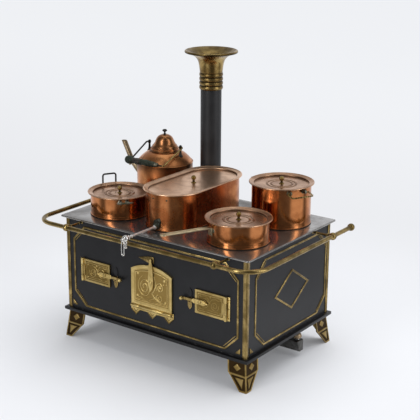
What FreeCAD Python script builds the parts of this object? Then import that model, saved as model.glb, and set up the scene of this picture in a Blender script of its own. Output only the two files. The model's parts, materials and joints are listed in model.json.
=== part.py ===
"""Tin toy stove with copper pots, a water boiler with a tap, a kettle and a spirit burner.

Millimetres, +Z up, front towards -Y.  The pieces are built about the middle of the body and
moved back by BODY_Y, so that the origin is on the floor below the middle of the whole object.
"""
import FreeCAD
import Part
import math
import os

from FreeCAD import Vector

# Pots, lids and their seats in the hob
POT_R = 40.0                # round pots and kettle, outside
POT_WALL = 1.2
POT_BEAD = 0.8              # half-round bead at the foot of each pot
LOW_POT_H = 29.0            # casserole and saucepan, hob to rim
STOCKPOT_H = 54.0
BOILER_R = 38.0             # round ends of the oval boiler
BOILER_HALF = 42.0          # half of its straight sides
BOILER_H = 49.0
LID_LIP = 4.0               # lid past the pot wall
LID_FLARE = 0.7             # rise of the lid's brim from the pot wall to its rolled edge
LID_SHEET = 1.2
LID_ROLL = 0.9              # radius of the rolled lid edge
LID_PLUG_H = 2.6            # sunk middle of the lid, inside the pot
LID_PLUG_CLEAR = 0.6
SEAT_STEP = 5.0             # hob hole smaller than the pot by this much all round
SEAT_DROP = 3.0             # pot bottom hangs this far into the hole
SEAT_CLEAR = 0.5
LID_KNOB_R = 3.6
LID_KNOB_NECK_R = 1.6
LID_KNOB_H = 10.5

# Room round the pots, which sets the size of the body
POT_EDGE_X = 6.5            # lid edge to the side panel
POT_EDGE_FRONT = 9.25
POT_EDGE_BACK = 1.25
POT_ROW_GAP = 12.0          # between front and back lids
BOILER_GAP_LEFT = 6.5
BOILER_GAP_RIGHT = 20.5
BOILER_EDGE = 15.25         # boiler lid to the front and back panels

# Body
SHEET = 1.2
BODY_H = 131.8              # panels, base to hob
BASE_T = 4.2
BASE_LIP = 5.0
PLATE_T = 2.3
PLATE_LIP = 6.2
PLATE_CORNER_R = 3.0
POST_LEG = 5.0
POST_T = 1.0
POST_ROUND = 1.6            # radius of the post's outer corner

# Feet: angle pieces that splay outwards and taper below a shoulder
FOOT_H = 40.0
FOOT_TOP_LEG = 28.0
FOOT_END_LEG = 11.0
FOOT_SHOULDER = 18.0        # height of the part that keeps its full width
FOOT_SPLAY = 4.9
FOOT_T = 2.5

# Brass mouldings on the panels
MOULD_W = 3.0
MOULD_T = 1.0
MOULD_EDGE_X = 11.5         # from the panel's side edges, front
MOULD_EDGE_BOTTOM = 6.0
MOULD_EDGE_TOP = 8.5
MOULD_CHAMFER = 20.0
MOULD_EDGE_NEAR = 18.5      # side panels, from the front edge
MOULD_EDGE_FAR = 7.0        # side panels, from the back edge
TRIANGLE_LEG = 8.0
TRIANGLE_EDGE = 8.0         # from the panel's side edge to the triangle
TRIANGLE_LIFT = 5.0         # above the base
DIAMOND_W = 82.0
DIAMOND_H = 55.0
DIAMOND_Z = 63.0            # middle of the diamond above the base

# Hand rail
RAIL_R = 3.0
RAIL_BELOW_HOB = 5.3
RAIL_OUT = 30.8             # rail axis to the panels
RAIL_CORNER_R = 30.0
RAIL_PAST_BACK = 1.0        # rail ends behind the back panel
RAIL_BALL_R = 5.2
RAIL_STUD_R = 1.8
RAIL_ROSE_R = 2.6
RAIL_ROSE_T = 1.5
RAIL_STUD_EDGE = 28.0       # front studs, from the body's side
RAIL_SIDE_STUD_Y = 54.0     # side studs
RAIL_SOCKET = 3.0           # rail end inside its ball
FIT = 0.05                  # clearance of a rod in the bore that holds it

# Chimney
CHIMNEY_R = 14.8
CHIMNEY_WALL = 1.0
CHIMNEY_H = 181.0           # pipe, above its collar
CHIMNEY_GAP = 1.6           # pipe to the boiler lid
CHIMNEY_TURN = 38.0         # degrees to the left of straight back from the boiler's end
COLLAR_R = 18.0
COLLAR_T = 1.5
COLLAR_H = 14.0
COLLAR_WALL = 1.2
COLLAR_CLEAR = 0.2
BELL_SLEEVE_H = 24.0
BELL_SLEEVE_T = 1.0
BELL_BEADS = 4
BELL_BEAD_OUT = 0.9
BELL_WALL = 1.2
BELL_FLARE_H = 28.0
BELL_MOUTH_R = 36.0
BELL_SAG_R = 20.5           # flare radius at BELL_SAG_H
BELL_SAG_H = 18.5
BELL_LIP_R = 1.4

# Doors, hinges and latches
DOOR_W = 46.5
DOOR_H = 32.0
DOOR_T = 1.6
DOOR_GAP = 0.4              # door to panel
DOOR_BORDER = 3.0
DOOR_RAISE = 0.5
DOOR_LAP = 4.0              # door over its opening, each side
DOOR_EDGE = 31.5            # side door's hinge edge from the body's side
DOOR_Z = 61.8               # middle of the side doors above the base
FIRE_DOOR_W = 68.0
FIRE_DOOR_DROP = 48.5       # springing of its arch below the top of the panels
FIRE_DOOR_RISE = 9.0
FIRE_DOOR_Z = 33.3          # its lower edge above the base
KNUCKLE_R = 2.0
PIN_R = 1.0
PIN_HEAD = 0.8
RUN_CLEAR = 0.06            # radial, of a pivot that turns
END_CLEAR = 0.3             # between knuckles
LEAF_T = 0.8
LEAF_W = 7.0
SIDE_KNUCKLE = 16.0         # door's own knuckle on a side door
FIRE_KNUCKLE = 40.0
WEB_T = 2.5
APRON_DROP = 6.0            # apron below the hinge axis, between its points
APRON_POINT = 8.0
APRON_LIP = 2.0             # apron past the fire door's sides
LATCH_T = 1.2
LATCH_H = 3.5
LATCH_GAP = 0.4             # latch to the door's raised border
LATCH_TIP = 9.5
LATCH_ARM = 28.0
LATCH_BUTTON_R = 2.4
LATCH_INSET = 8.0           # latch pivot from the door's free edge
STUD_R = 1.5
STUD_HEAD_R = 2.6
STUD_HEAD_T = 0.8
FIRE_LATCH_LIFT = 11.5      # pivot above the middle of the fire door's straight sides
FIRE_KEEPER_LIFT = 19.5     # end of the latch bar, at its keeper, above the springing of the arch
KEEPER_T = 1.0
KEEPER_OFF = 9.5            # keeper from the door's free edge
KEEPER_HALF = 15.0
KEEPER_W = 7.0
FIRE_KEEPER_W = 26.0
FIRE_KEEPER_H = 9.0
PEG_W = 3.0
PEG_H = 1.5
PEG_CLEAR = 0.3

# Ovens behind the side doors
OVEN_DEPTH = 110.0
OVEN_WALL = 1.0

# Spirit burner under the base
BURNER_Y = 35.0
TANK_L = 190.0
TANK_W = 40.0
TANK_H = 16.0
TANK_LIFT = 8.0
TANK_FLANGE = 3.0
TANK_FLANGE_T = 1.2
TANK_FLANGE_DROP = 2.8      # flange below the top of the tank
ARM_W = 9.0                 # filling arm at the right end
WICK_R = 6.0
WICK_H = 12.5
WICK_STEP = 60.0
WICK_COUNT = 3
FLAME_CLEAR = 9.0           # flame hole round each wick
GUIDE_T = 1.2
GUIDE_CLEAR = 0.3
GUIDE_LIP = 3.0
CAP_R = 4.2
CAP_NECK_R = 2.6
CAP_NECK_H = 2.5
CAP_INSET = 7.0             # from the end of the arm

# Boiler tap
TAP_BOSS_R = 7.0
TAP_BOSS_T = 4.5
TAP_BOSS_LIFT = 9.7         # boss axis above the hob
TAP_LIFT = 6.2              # pipe axis above the hob
TAP_PIPE_R = 1.9
TAP_PAST_RAIL = 13.0
TAP_BALL_R = 4.5
TAP_SPOUT_R = 2.2
TAP_SPOUT_H = 13.0
TAP_BORE_R = 1.2
LEVER_T = 1.6
LEVER_GAP = 0.4
LEVER_W = 5.6
LEVER_L = 19.0              # pivot to the middle of the lower end
LEVER_RIM = 1.4
LEVER_PIN_R = 1.3

# Wire loop handles of the casserole and the stockpot
LOOP_WIRE_R = 1.2
LOOP_BEND = 3.0
LOOP_CLEAR = 0.08           # wire in its ear
LOOP_DROP = 2.9             # pivot below the pot rim
CASSEROLE_LOOP_W = 19.0
CASSEROLE_LOOP_L = 17.0
CASSEROLE_LOOP_OUT = 6.5    # pivot outside the pot wall, so that the loop can stand up past the lid
STOCKPOT_LOOP_W = 31.0
STOCKPOT_LOOP_L = 14.0
STOCKPOT_LOOP_OUT = 3.5
EAR_R = 2.4
EAR_T = 2.4
EAR_GAP = 0.4               # ear to the bend of the wire, and wire past the ear
CASSEROLE_FRONT_TURN = -42.0
CASSEROLE_BACK_TURN = 149.0
STOCKPOT_RIGHT_TURN = -28.0
STOCKPOT_LEFT_TURN = 152.0
CASSEROLE_FRONT_TILT = 17.0 # loop above the horizontal, degrees
CASSEROLE_BACK_TILT = 92.0  # stands up, leaning a little over the lid
STOCKPOT_TILT = -10.0

# Saucepan handle
HANDLE_TURN = -116.0
HANDLE_L = 66.0             # pot wall to the middle of the eye
HANDLE_W = 7.0
HANDLE_T = 1.6
HANDLE_DROP = 5.5           # below the pot rim
HANDLE_TAB_H = 11.0
HANDLE_TAB_W = 10.0
HANDLE_EYE_R = 4.5
HANDLE_HOLE_R = 2.2

# Kettle
KETTLE_H = 52.0             # hob to shoulder
KETTLE_SHOULDER_H = 16.0
KETTLE_NECK_R = 20.0
KETTLE_NECK_H = 4.0
KETTLE_LID_R = 19.5
KETTLE_LID_H = 19.5
KETTLE_LID_WAIST_R = 12.8
KETTLE_LID_WAIST_H = 11.0
KETTLE_CROWN_R = 4.3        # flat middle of the lid, under the knob
KETTLE_CROWN_BULGE = 10.2   # radius half way up the crown
KETTLE_PLUG_CLEAR = 0.5
KETTLE_KNOB_R = 3.7
KETTLE_KNOB_H = 7.6
KETTLE_KNOB_STEM_R = 1.4
KETTLE_KNOB_SKIRT = 1.2     # height of the cone under the knob's edge
SPOUT_R = 3.7
SPOUT_WALL = 1.1
SPOUT_LIFT = 22.0           # spout axis at the wall, above the hob
SPOUT_ELBOW_OUT = 22.0      # bend of the spout, outside the wall
SPOUT_ELBOW_LIFT = 44.0     # and above the hob
SPOUT_TIP_OUT = 36.0
SPOUT_TIP_LIFT = 71.5
SPOUT_BEND = 25.0
BAIL_WIRE_R = 1.2
BAIL_EAR_X = 29.0           # middle of each ear from the kettle's axis
BAIL_EAR_W = 7.0
BAIL_EAR_T = 2.4
BAIL_LIFT = 76.7            # bail pivot above the hob
BAIL_PAST_WALL = 5.5        # length of the bail's arm past the kettle's radius
BAIL_DROP = 19.23           # bail's bar below its pivot, at rest in front
BAIL_BEND = 2.6
BAIL_OUT = 3.8              # wire runs this far past the ear to the corner of its bend
BAIL_BAR_HALF = 30.0        # half of the bar that carries the grip
GRIP_LEFT = 38.0            # left end of the grip from the middle of the bar
GRIP_RIGHT = 20.0
GRIP_R = 4.3
GRIP_BULB_R = 6.0
GRIP_BULB_L = 13.0
GRIP_NECK_R = 3.6
GRIP_END_R = 3.0

# Places that follow from the sizes above
LID_R = POT_R + LID_LIP
BAIL_ARM = POT_R + BAIL_PAST_WALL
BAIL_REST = -math.degrees(math.asin(BAIL_DROP / BAIL_ARM))
BOILER_LID_R = BOILER_R + LID_LIP
BODY_W = 2 * (POT_EDGE_X + 2 * LID_R) + BOILER_GAP_LEFT + 2 * BOILER_LID_R + BOILER_GAP_RIGHT
POT_ROWS_D = POT_EDGE_FRONT + POT_ROW_GAP + POT_EDGE_BACK + 4 * LID_R
BODY_D = max(POT_ROWS_D, 2 * (BOILER_EDGE + BOILER_HALF + BOILER_LID_R))
SIDE = BODY_W / 2
FRONT = -BODY_D / 2
BACK = BODY_D / 2
BASE_TOP = FOOT_H + BASE_T
BODY_TOP = BASE_TOP + BODY_H
HOB = BODY_TOP + PLATE_T

POT_X = SIDE - POT_EDGE_X - LID_R
FRONT_ROW_Y = FRONT + POT_EDGE_FRONT + LID_R
BACK_ROW_Y = BACK - POT_EDGE_BACK - LID_R
BOILER_X = -POT_X + LID_R + BOILER_GAP_LEFT + BOILER_LID_R
SEAT_R = POT_R - SEAT_STEP
BOILER_SEAT_R = BOILER_R - SEAT_STEP
CHIMNEY_REACH = BOILER_LID_R + CHIMNEY_R + CHIMNEY_GAP
CHIMNEY_X = BOILER_X - CHIMNEY_REACH * math.sin(math.radians(CHIMNEY_TURN))
CHIMNEY_Y = BOILER_HALF + CHIMNEY_REACH * math.cos(math.radians(CHIMNEY_TURN))
COLLAR_BORE_R = CHIMNEY_R - CHIMNEY_WALL - COLLAR_CLEAR - COLLAR_WALL

RAIL_Z = HOB - RAIL_BELOW_HOB
RAIL_X = SIDE + RAIL_OUT
RAIL_FRONT_Y = FRONT - RAIL_OUT
RAIL_END_Y = BACK + RAIL_PAST_BACK
RAIL_END_BALL_Y = RAIL_END_Y - RAIL_SOCKET + RAIL_BALL_R

HINGE_Y = FRONT - LEAF_T - END_CLEAR - KNUCKLE_R
DOOR_BACK_Y = FRONT - DOOR_GAP
DOOR_FACE_Y = DOOR_BACK_Y - DOOR_T
LATCH_BACK_Y = DOOR_FACE_Y - DOOR_RAISE - LATCH_GAP
LATCH_FACE_Y = LATCH_BACK_Y - LATCH_T
STUD_END_Y = LATCH_FACE_Y - END_CLEAR
PEG_Y = LATCH_FACE_Y - PEG_CLEAR
HINGE_X = SIDE - DOOR_EDGE + KNUCKLE_R
DOOR_X = SIDE - DOOR_EDGE - DOOR_W / 2
DOOR_MID_Z = BASE_TOP + DOOR_Z
FIRE_DOOR_BOTTOM = BASE_TOP + FIRE_DOOR_Z
FIRE_DOOR_H = BODY_H - FIRE_DOOR_DROP - FIRE_DOOR_Z
FIRE_HINGE_Z = FIRE_DOOR_BOTTOM - KNUCKLE_R
FIRE_LATCH_MID_Z = FIRE_DOOR_BOTTOM + FIRE_DOOR_H / 2 + FIRE_LATCH_LIFT
FIRE_LATCH_ARM = FIRE_DOOR_H / 2 - FIRE_LATCH_LIFT + FIRE_KEEPER_LIFT

TAP_BALL_Y = RAIL_FRONT_Y - TAP_PAST_RAIL
TAP_Z = HOB + TAP_LIFT
LEVER_FACE_Y = TAP_BALL_Y - TAP_BALL_R - LEVER_GAP - LEVER_T
LEVER_PIN_Y = LEVER_FACE_Y - END_CLEAR
FRONT_REACH = -(LEVER_PIN_Y - STUD_HEAD_T)
BACK_REACH = max(RAIL_END_BALL_Y + RAIL_BALL_R, CHIMNEY_Y + BELL_MOUTH_R + BELL_LIP_R)
BODY_Y = (FRONT_REACH - BACK_REACH) / 2


def front_point(point):
    """Point of an outline drawn on the front, as (x, z)."""
    return Vector(point[0], 0, point[1])


def side_point(point):
    """Point of an outline drawn on a side, as (y, z)."""
    return Vector(0, point[0], point[1])


def outline(start, steps, to_space):
    """Flat face inside a closed outline: a step is a point, or a pair (via, end) for an arc."""
    edges = []
    here = start
    for step in steps + [start]:
        if isinstance(step[0], tuple):
            via, end = step
            edges.append(Part.Arc(to_space(here), to_space(via), to_space(end)).toShape())
        else:
            end = step
            if to_space(here).distanceToPoint(to_space(end)) > 1e-6:
                edges.append(Part.makeLine(to_space(here), to_space(end)))
        here = end
    return Part.Face(Part.Wire(edges))


def box(x_span, y_span, z_span):
    corner = Vector(x_span[0], y_span[0], z_span[0])
    return Part.makeBox(x_span[1] - x_span[0], y_span[1] - y_span[0], z_span[1] - z_span[0], corner)


def rod(start, end, radius):
    start = Vector(*start)
    along = Vector(*end) - start
    return Part.makeCylinder(radius, along.Length, start, along)


def ball(centre, radius):
    return Part.makeSphere(radius, Vector(*centre))


def front_plate(start, steps, y_back, y_face):
    """Plate on the front with an (x, z) outline."""
    plate = outline(start, steps, front_point).extrude(Vector(0, y_face - y_back, 0))
    plate.translate(Vector(0, y_back, 0))
    return plate


def side_plate(start, steps, x_inner, x_outer):
    """Plate on a side with a (y, z) outline."""
    plate = outline(start, steps, side_point).extrude(Vector(x_outer - x_inner, 0, 0))
    plate.translate(Vector(x_inner, 0, 0))
    return plate


def joined(shapes):
    """One solid from shapes that overlap or share faces."""
    return shapes[0].fuse(shapes[1:]).removeSplitter()


def turned(start, steps, half=0.0):
    """Body turned from an (r, z) profile; half draws it out to an oval along Y."""
    profile = outline(start, steps, front_point)
    axis = Vector(0, 0, 1)
    if half == 0:
        return profile.revolve(Vector(0, 0, 0), axis, 360)
    ends = [profile.revolve(Vector(0, 0, 0), axis, sweep) for sweep in (180, -180)]
    ends[0].translate(Vector(0, half, 0))
    ends[1].translate(Vector(0, -half, 0))
    right = profile.extrude(Vector(0, 2 * half, 0))
    right.translate(Vector(0, -half, 0))
    left = right.copy()
    left.rotate(Vector(0, 0, 0), axis, 180)
    return joined(ends + [right, left])


def dome(edge_r, edge_z, top):
    """Arc step of a round cap from its edge up to the axis."""
    height = top - edge_z
    radius = (edge_r ** 2 + height ** 2) / (2 * height)
    half_turn = math.atan2(edge_r, radius - height) / 2
    return (radius * math.sin(half_turn), top - radius * (1 - math.cos(half_turn))), (0, top)


def at(shape, x, y, z=0.0):
    placed = shape.copy()
    placed.translate(Vector(x, y, z))
    return placed


def swung(shape, degrees):
    """Copy turned about the vertical axis."""
    copy = shape.copy()
    copy.rotate(Vector(0, 0, 0), Vector(0, 0, 1), degrees)
    return copy


def mirrored_x(shape):
    return shape.mirror(Vector(0, 0, 0), Vector(1, 0, 0))


def bent_rod(points, bend, radius):
    """Round rod along straight runs, with each corner bent to one radius."""
    corners = [Vector(*point) for point in points]
    edges = []
    here = corners[0]
    for before, corner, after in zip(corners, corners[1:], corners[2:]):
        back = (before - corner).normalize()
        ahead = (after - corner).normalize()
        half_turn = (math.pi - back.getAngle(ahead)) / 2
        run = bend * math.tan(half_turn)
        start = corner + back * run
        end = corner + ahead * run
        inward = (back + ahead).normalize()
        middle = corner + inward * (bend / math.cos(half_turn) - bend)
        edges.append(Part.makeLine(here, start))
        edges.append(Part.Arc(start, middle, end).toShape())
        here = end
    edges.append(Part.makeLine(here, corners[-1]))
    section = Part.Wire(Part.makeCircle(radius, corners[0], corners[1] - corners[0]))
    return Part.Wire(edges).makePipeShell([section], True, False)


def octagon(low, high, bottom, top, chamfer):
    """Start and steps of a rectangle with its four corners cut off."""
    start = (low + chamfer, bottom)
    steps = [(high - chamfer, bottom), (high, bottom + chamfer), (high, top - chamfer),
             (high - chamfer, top), (low + chamfer, top), (low, top - chamfer), (low, bottom + chamfer)]
    return start, steps


def rectangle(low, high, bottom, top):
    return (low, bottom), [(high, bottom), (high, top), (low, top)]


def panels():
    """Tin base and walls; the front has the three door openings."""
    y_span = (FRONT, FRONT + SHEET)
    front = box((-SIDE, SIDE), y_span, (BASE_TOP, BODY_TOP))
    for sign in (-1, 1):
        half_w = DOOR_W / 2 - DOOR_LAP
        half_h = DOOR_H / 2 - DOOR_LAP
        x_span = (sign * DOOR_X - half_w, sign * DOOR_X + half_w)
        front = front.cut(box(x_span, y_span, (DOOR_MID_Z - half_h, DOOR_MID_Z + half_h)))
    fire_half = FIRE_DOOR_W / 2 - DOOR_LAP
    fire_z = (FIRE_DOOR_BOTTOM + DOOR_LAP, FIRE_DOOR_BOTTOM + FIRE_DOOR_H - DOOR_LAP)
    front = front.cut(box((-fire_half, fire_half), y_span, fire_z))
    back = box((-SIDE, SIDE), (BACK - SHEET, BACK), (BASE_TOP, BODY_TOP))
    right = box((SIDE - SHEET, SIDE), (FRONT + SHEET, BACK - SHEET), (BASE_TOP, BODY_TOP))
    base_x = SIDE + BASE_LIP
    base_y = BACK + BASE_LIP
    base = box((-base_x, base_x), (-base_y, base_y), (FOOT_H, BASE_TOP))
    for x in wick_places():
        base = base.cut(rod((x, BURNER_Y, FOOT_H), (x, BURNER_Y, BASE_TOP), WICK_R + FLAME_CLEAR))
    return {"base_plate": base, "front_panel": front, "back_panel": back,
            "right_panel": right, "left_panel": mirrored_x(right)}


def top_plate():
    """Hob with a hole under each pot and under the chimney."""
    edge_x = SIDE + PLATE_LIP
    edge_y = BACK + PLATE_LIP
    plate = box((-edge_x, edge_x), (-edge_y, edge_y), (BODY_TOP, HOB))
    upright = [edge for edge in plate.Edges if abs(edge.tangentAt(0).z) > 0.99]
    plate = plate.makeFillet(PLATE_CORNER_R, upright)
    hole = turned((0, BODY_TOP), [(SEAT_R, BODY_TOP), (SEAT_R, HOB), (0, HOB)])
    for x in (-POT_X, POT_X):
        for y in (FRONT_ROW_Y, BACK_ROW_Y):
            plate = plate.cut(at(hole, x, y))
    oval = turned((0, BODY_TOP), [(BOILER_SEAT_R, BODY_TOP), (BOILER_SEAT_R, HOB), (0, HOB)], BOILER_HALF)
    plate = plate.cut(at(oval, BOILER_X, 0))
    flue = (CHIMNEY_X, CHIMNEY_Y)
    return plate.cut(rod(flue + (BODY_TOP,), flue + (HOB,), COLLAR_BORE_R))


def corner_posts():
    """Brass angles over the four upright corners."""
    outer_x = SIDE + POST_T
    outer_y = BACK + POST_T
    z_span = (BASE_TOP, BODY_TOP)
    block = box((outer_x - POST_LEG - POST_T, outer_x), (outer_y - POST_LEG - POST_T, outer_y), z_span)
    corner = Vector(outer_x, outer_y, (BASE_TOP + BODY_TOP) / 2)
    outer_edge = min(block.Edges, key=lambda edge: edge.CenterOfMass.distanceToPoint(corner))
    angle = block.makeFillet(POST_ROUND, [outer_edge]).cut(box((0, SIDE), (0, BACK), z_span))
    flip = [angle, mirrored_x(angle)]
    return Part.makeCompound(flip + [shape.mirror(Vector(0, 0, 0), Vector(0, 1, 0)) for shape in flip])


def foot_section(z, leg, splay):
    """Angle-shaped section of a foot at the back right corner."""
    x = SIDE + splay
    y = BACK + splay
    points = [(x - leg, y), (x, y), (x, y - leg), (x - FOOT_T, y - leg), (x - FOOT_T, y - FOOT_T),
              (x - leg, y - FOOT_T)]
    corners = [Vector(point[0], point[1], z) for point in points]
    return Part.makePolygon(corners + corners[:1])


def feet():
    shoulder_z = FOOT_H - FOOT_SHOULDER
    shoulder_splay = FOOT_SPLAY * FOOT_SHOULDER / FOOT_H
    upper = Part.makeLoft([foot_section(FOOT_H, FOOT_TOP_LEG, 0),
                           foot_section(shoulder_z, FOOT_TOP_LEG, shoulder_splay)], True, True)
    lower = Part.makeLoft([foot_section(shoulder_z, FOOT_TOP_LEG, shoulder_splay),
                           foot_section(0, FOOT_END_LEG, FOOT_SPLAY)], True, True)
    foot = joined([upper, lower])
    pair = [foot, mirrored_x(foot)]
    return Part.makeCompound(pair + [shape.mirror(Vector(0, 0, 0), Vector(0, 1, 0)) for shape in pair])


def octagon_frame(plate, low, high, near, face):
    """Thin octagon frame; plate draws it on the front or on a side."""
    bottom = BASE_TOP + MOULD_EDGE_BOTTOM
    top = BODY_TOP - MOULD_EDGE_TOP
    inner_chamfer = MOULD_CHAMFER - MOULD_W * (2 - math.sqrt(2))
    outer = plate(*octagon(low, high, bottom, top, MOULD_CHAMFER), near, face)
    inner = plate(*octagon(low + MOULD_W, high - MOULD_W, bottom + MOULD_W, top - MOULD_W, inner_chamfer),
                  near, face)
    return outer.cut(inner)


def corner_triangle(plate, corner, inward, near, face):
    """Small triangle in a lower corner; inward is the sign of the way to the middle."""
    z = BASE_TOP + TRIANGLE_LIFT
    start = (corner, z)
    steps = [(corner + inward * TRIANGLE_LEG, z), (corner, z + TRIANGLE_LEG)]
    return plate(start, steps, near, face)


def mouldings():
    face = FRONT - MOULD_T
    edge = SIDE - MOULD_EDGE_X
    front = [octagon_frame(front_plate, -edge, edge, FRONT, face)]
    triangle_x = SIDE - TRIANGLE_EDGE
    for sign in (-1, 1):
        front.append(corner_triangle(front_plate, sign * triangle_x, -sign, FRONT, face))

    outer = SIDE + MOULD_T
    low = FRONT + MOULD_EDGE_NEAR
    high = BACK - MOULD_EDGE_FAR
    middle = (low + high) / 2
    z = BASE_TOP + DIAMOND_Z
    half_w = DIAMOND_W / 2
    half_h = DIAMOND_H / 2
    inset = MOULD_W * math.hypot(half_w, half_h)
    rhombs = []
    for w, h in ((half_w, half_h), (half_w - inset / half_h, half_h - inset / half_w)):
        steps = [(middle, z + h), (middle + w, z), (middle, z - h)]
        rhombs.append(side_plate((middle - w, z), steps, SIDE, outer))
    right = [octagon_frame(side_plate, low, high, SIDE, outer), rhombs[0].cut(rhombs[1]),
             corner_triangle(side_plate, FRONT + TRIANGLE_EDGE, 1, SIDE, outer)]
    right_group = Part.makeCompound(right)
    return {"front_moulding": Part.makeCompound(front), "right_moulding": right_group,
            "left_moulding": mirrored_x(right_group)}


def hand_rail():
    points = [(-RAIL_X, RAIL_END_Y, RAIL_Z), (-RAIL_X, RAIL_FRONT_Y, RAIL_Z),
              (RAIL_X, RAIL_FRONT_Y, RAIL_Z), (RAIL_X, RAIL_END_Y, RAIL_Z)]
    return bent_rod(points, RAIL_CORNER_R, RAIL_R)


def rail_stud(foot, way, rail_axis):
    """Turned stud from a panel to its ball on the rail; way is the unit step outwards."""
    foot = Vector(*foot)
    way = Vector(*way)
    centre = foot + way * RAIL_OUT
    shapes = [Part.makeCylinder(RAIL_ROSE_R, RAIL_ROSE_T, foot, way),
              Part.makeCylinder(RAIL_STUD_R, RAIL_OUT, foot, way),
              Part.makeSphere(RAIL_BALL_R, centre)]
    along = Vector(*rail_axis) * (2 * RAIL_BALL_R)
    bore = Part.makeCylinder(RAIL_R + FIT, 2 * along.Length, centre - along, along)
    return joined(shapes).cut(bore)


def rail_fittings():
    fittings = []
    for sign in (-1, 1):
        fittings.append(rail_stud((sign * (SIDE - RAIL_STUD_EDGE), FRONT, RAIL_Z), (0, -1, 0), (1, 0, 0)))
        fittings.append(rail_stud((sign * SIDE, RAIL_SIDE_STUD_Y, RAIL_Z), (sign, 0, 0), (0, 1, 0)))
        end = ball((sign * RAIL_X, RAIL_END_BALL_Y, RAIL_Z), RAIL_BALL_R)
        mouth = RAIL_END_BALL_Y - 2 * RAIL_BALL_R
        socket = rod((sign * RAIL_X, mouth, RAIL_Z), (sign * RAIL_X, RAIL_END_Y, RAIL_Z), RAIL_R + FIT)
        fittings.append(end.cut(socket))
    return Part.makeCompound(fittings)


def chimney():
    """Collar on the hob, black pipe over its spigot and brass bell on the pipe."""
    bore = CHIMNEY_R - CHIMNEY_WALL
    spigot = COLLAR_BORE_R + COLLAR_WALL
    ledge = HOB + COLLAR_T
    collar = turned((COLLAR_BORE_R, HOB), [(COLLAR_R, HOB), (COLLAR_R, ledge), (spigot, ledge),
                                           (spigot, ledge + COLLAR_H), (COLLAR_BORE_R, ledge + COLLAR_H)])
    top = ledge + CHIMNEY_H
    pipe = turned((bore, ledge), [(CHIMNEY_R, ledge), (CHIMNEY_R, top), (bore, top)])

    inner = CHIMNEY_R + FIT
    outer = inner + BELL_SLEEVE_T
    foot = top - BELL_SLEEVE_H
    pitch = BELL_SLEEVE_H / BELL_BEADS
    steps = [(outer, foot)]
    for bead in range(BELL_BEADS):
        low = foot + bead * pitch
        steps.append(((outer + BELL_BEAD_OUT, low + pitch / 2), (outer, low + pitch)))
    mouth = top + BELL_FLARE_H
    sag = (BELL_SAG_R, top + BELL_SAG_H)
    lip_out = (BELL_MOUTH_R + BELL_LIP_R, mouth + BELL_LIP_R)
    lip_top = (BELL_MOUTH_R, mouth + 2 * BELL_LIP_R)
    inner_sag = (BELL_SAG_R - BELL_WALL, top + BELL_SAG_H + BELL_WALL)
    steps += [(sag, (BELL_MOUTH_R, mouth)), (lip_out, lip_top), (inner_sag, (bore, top + 2 * BELL_WALL)),
              (bore, top), (inner, top)]
    bell = turned((inner, foot), steps)
    pieces = {"chimney_collar": collar, "chimney_pipe": pipe, "chimney_bell": bell}
    return {name: at(shape, CHIMNEY_X, CHIMNEY_Y) for name, shape in pieces.items()}


def latch_stud(x, z):
    """Riveted pivot of a latch, part of its door."""
    shank = rod((x, DOOR_FACE_Y, z), (x, STUD_END_Y, z), STUD_R)
    head = rod((x, STUD_END_Y, z), (x, STUD_END_Y - STUD_HEAD_T, z), STUD_HEAD_R)
    return [shank, head]


def side_door():
    """Right oven door with its raised border, knuckle and latch stud."""
    low = DOOR_X - DOOR_W / 2
    high = DOOR_X + DOOR_W / 2
    bottom = DOOR_MID_Z - DOOR_H / 2
    top = DOOR_MID_Z + DOOR_H / 2
    plate = front_plate(*rectangle(low, high, bottom, top), DOOR_BACK_Y, DOOR_FACE_Y)
    border = front_plate(*rectangle(low, high, bottom, top), DOOR_FACE_Y, DOOR_FACE_Y - DOOR_RAISE)
    border = border.cut(front_plate(*rectangle(low + DOOR_BORDER, high - DOOR_BORDER, bottom + DOOR_BORDER,
                                               top - DOOR_BORDER), DOOR_FACE_Y, DOOR_FACE_Y - DOOR_RAISE))
    z_span = (DOOR_MID_Z - SIDE_KNUCKLE / 2, DOOR_MID_Z + SIDE_KNUCKLE / 2)
    web_back = HINGE_Y + KNUCKLE_R - END_CLEAR / 2
    web = box((high - DOOR_BORDER, HINGE_X), (web_back - WEB_T, web_back), z_span)
    axis = ((HINGE_X, HINGE_Y, z_span[0]), (HINGE_X, HINGE_Y, z_span[1]))
    door = joined([plate, border, web, rod(*axis, KNUCKLE_R)] + latch_stud(low + LATCH_INSET, DOOR_MID_Z))
    return door.cut(rod(*axis, PIN_R + RUN_CLEAR))


def fire_door_outline(inset):
    """Start and steps of the arched fire door, drawn in by inset."""
    half = FIRE_DOOR_W / 2 - inset
    bottom = FIRE_DOOR_BOTTOM + inset
    spring = FIRE_DOOR_BOTTOM + FIRE_DOOR_H - inset
    return (-half, bottom), [(half, bottom), (half, spring), ((0, spring + FIRE_DOOR_RISE), (-half, spring))]


def fire_door():
    """Arched door that folds down about a pin along its lower edge."""
    plate = front_plate(*fire_door_outline(0), DOOR_BACK_Y, DOOR_FACE_Y)
    border = front_plate(*fire_door_outline(0), DOOR_FACE_Y, DOOR_FACE_Y - DOOR_RAISE)
    border = border.cut(front_plate(*fire_door_outline(DOOR_BORDER), DOOR_FACE_Y, DOOR_FACE_Y - DOOR_RAISE))
    x_span = (-FIRE_KNUCKLE / 2, FIRE_KNUCKLE / 2)
    web_back = HINGE_Y + KNUCKLE_R - END_CLEAR / 2
    web = box(x_span, (web_back - WEB_T, web_back), (FIRE_HINGE_Z, FIRE_DOOR_BOTTOM + DOOR_BORDER))
    axis = ((x_span[0], HINGE_Y, FIRE_HINGE_Z), (x_span[1], HINGE_Y, FIRE_HINGE_Z))
    door = joined([plate, border, web, rod(*axis, KNUCKLE_R)] + latch_stud(0, FIRE_LATCH_MID_Z))
    return door.cut(rod(*axis, PIN_R + RUN_CLEAR))


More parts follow.
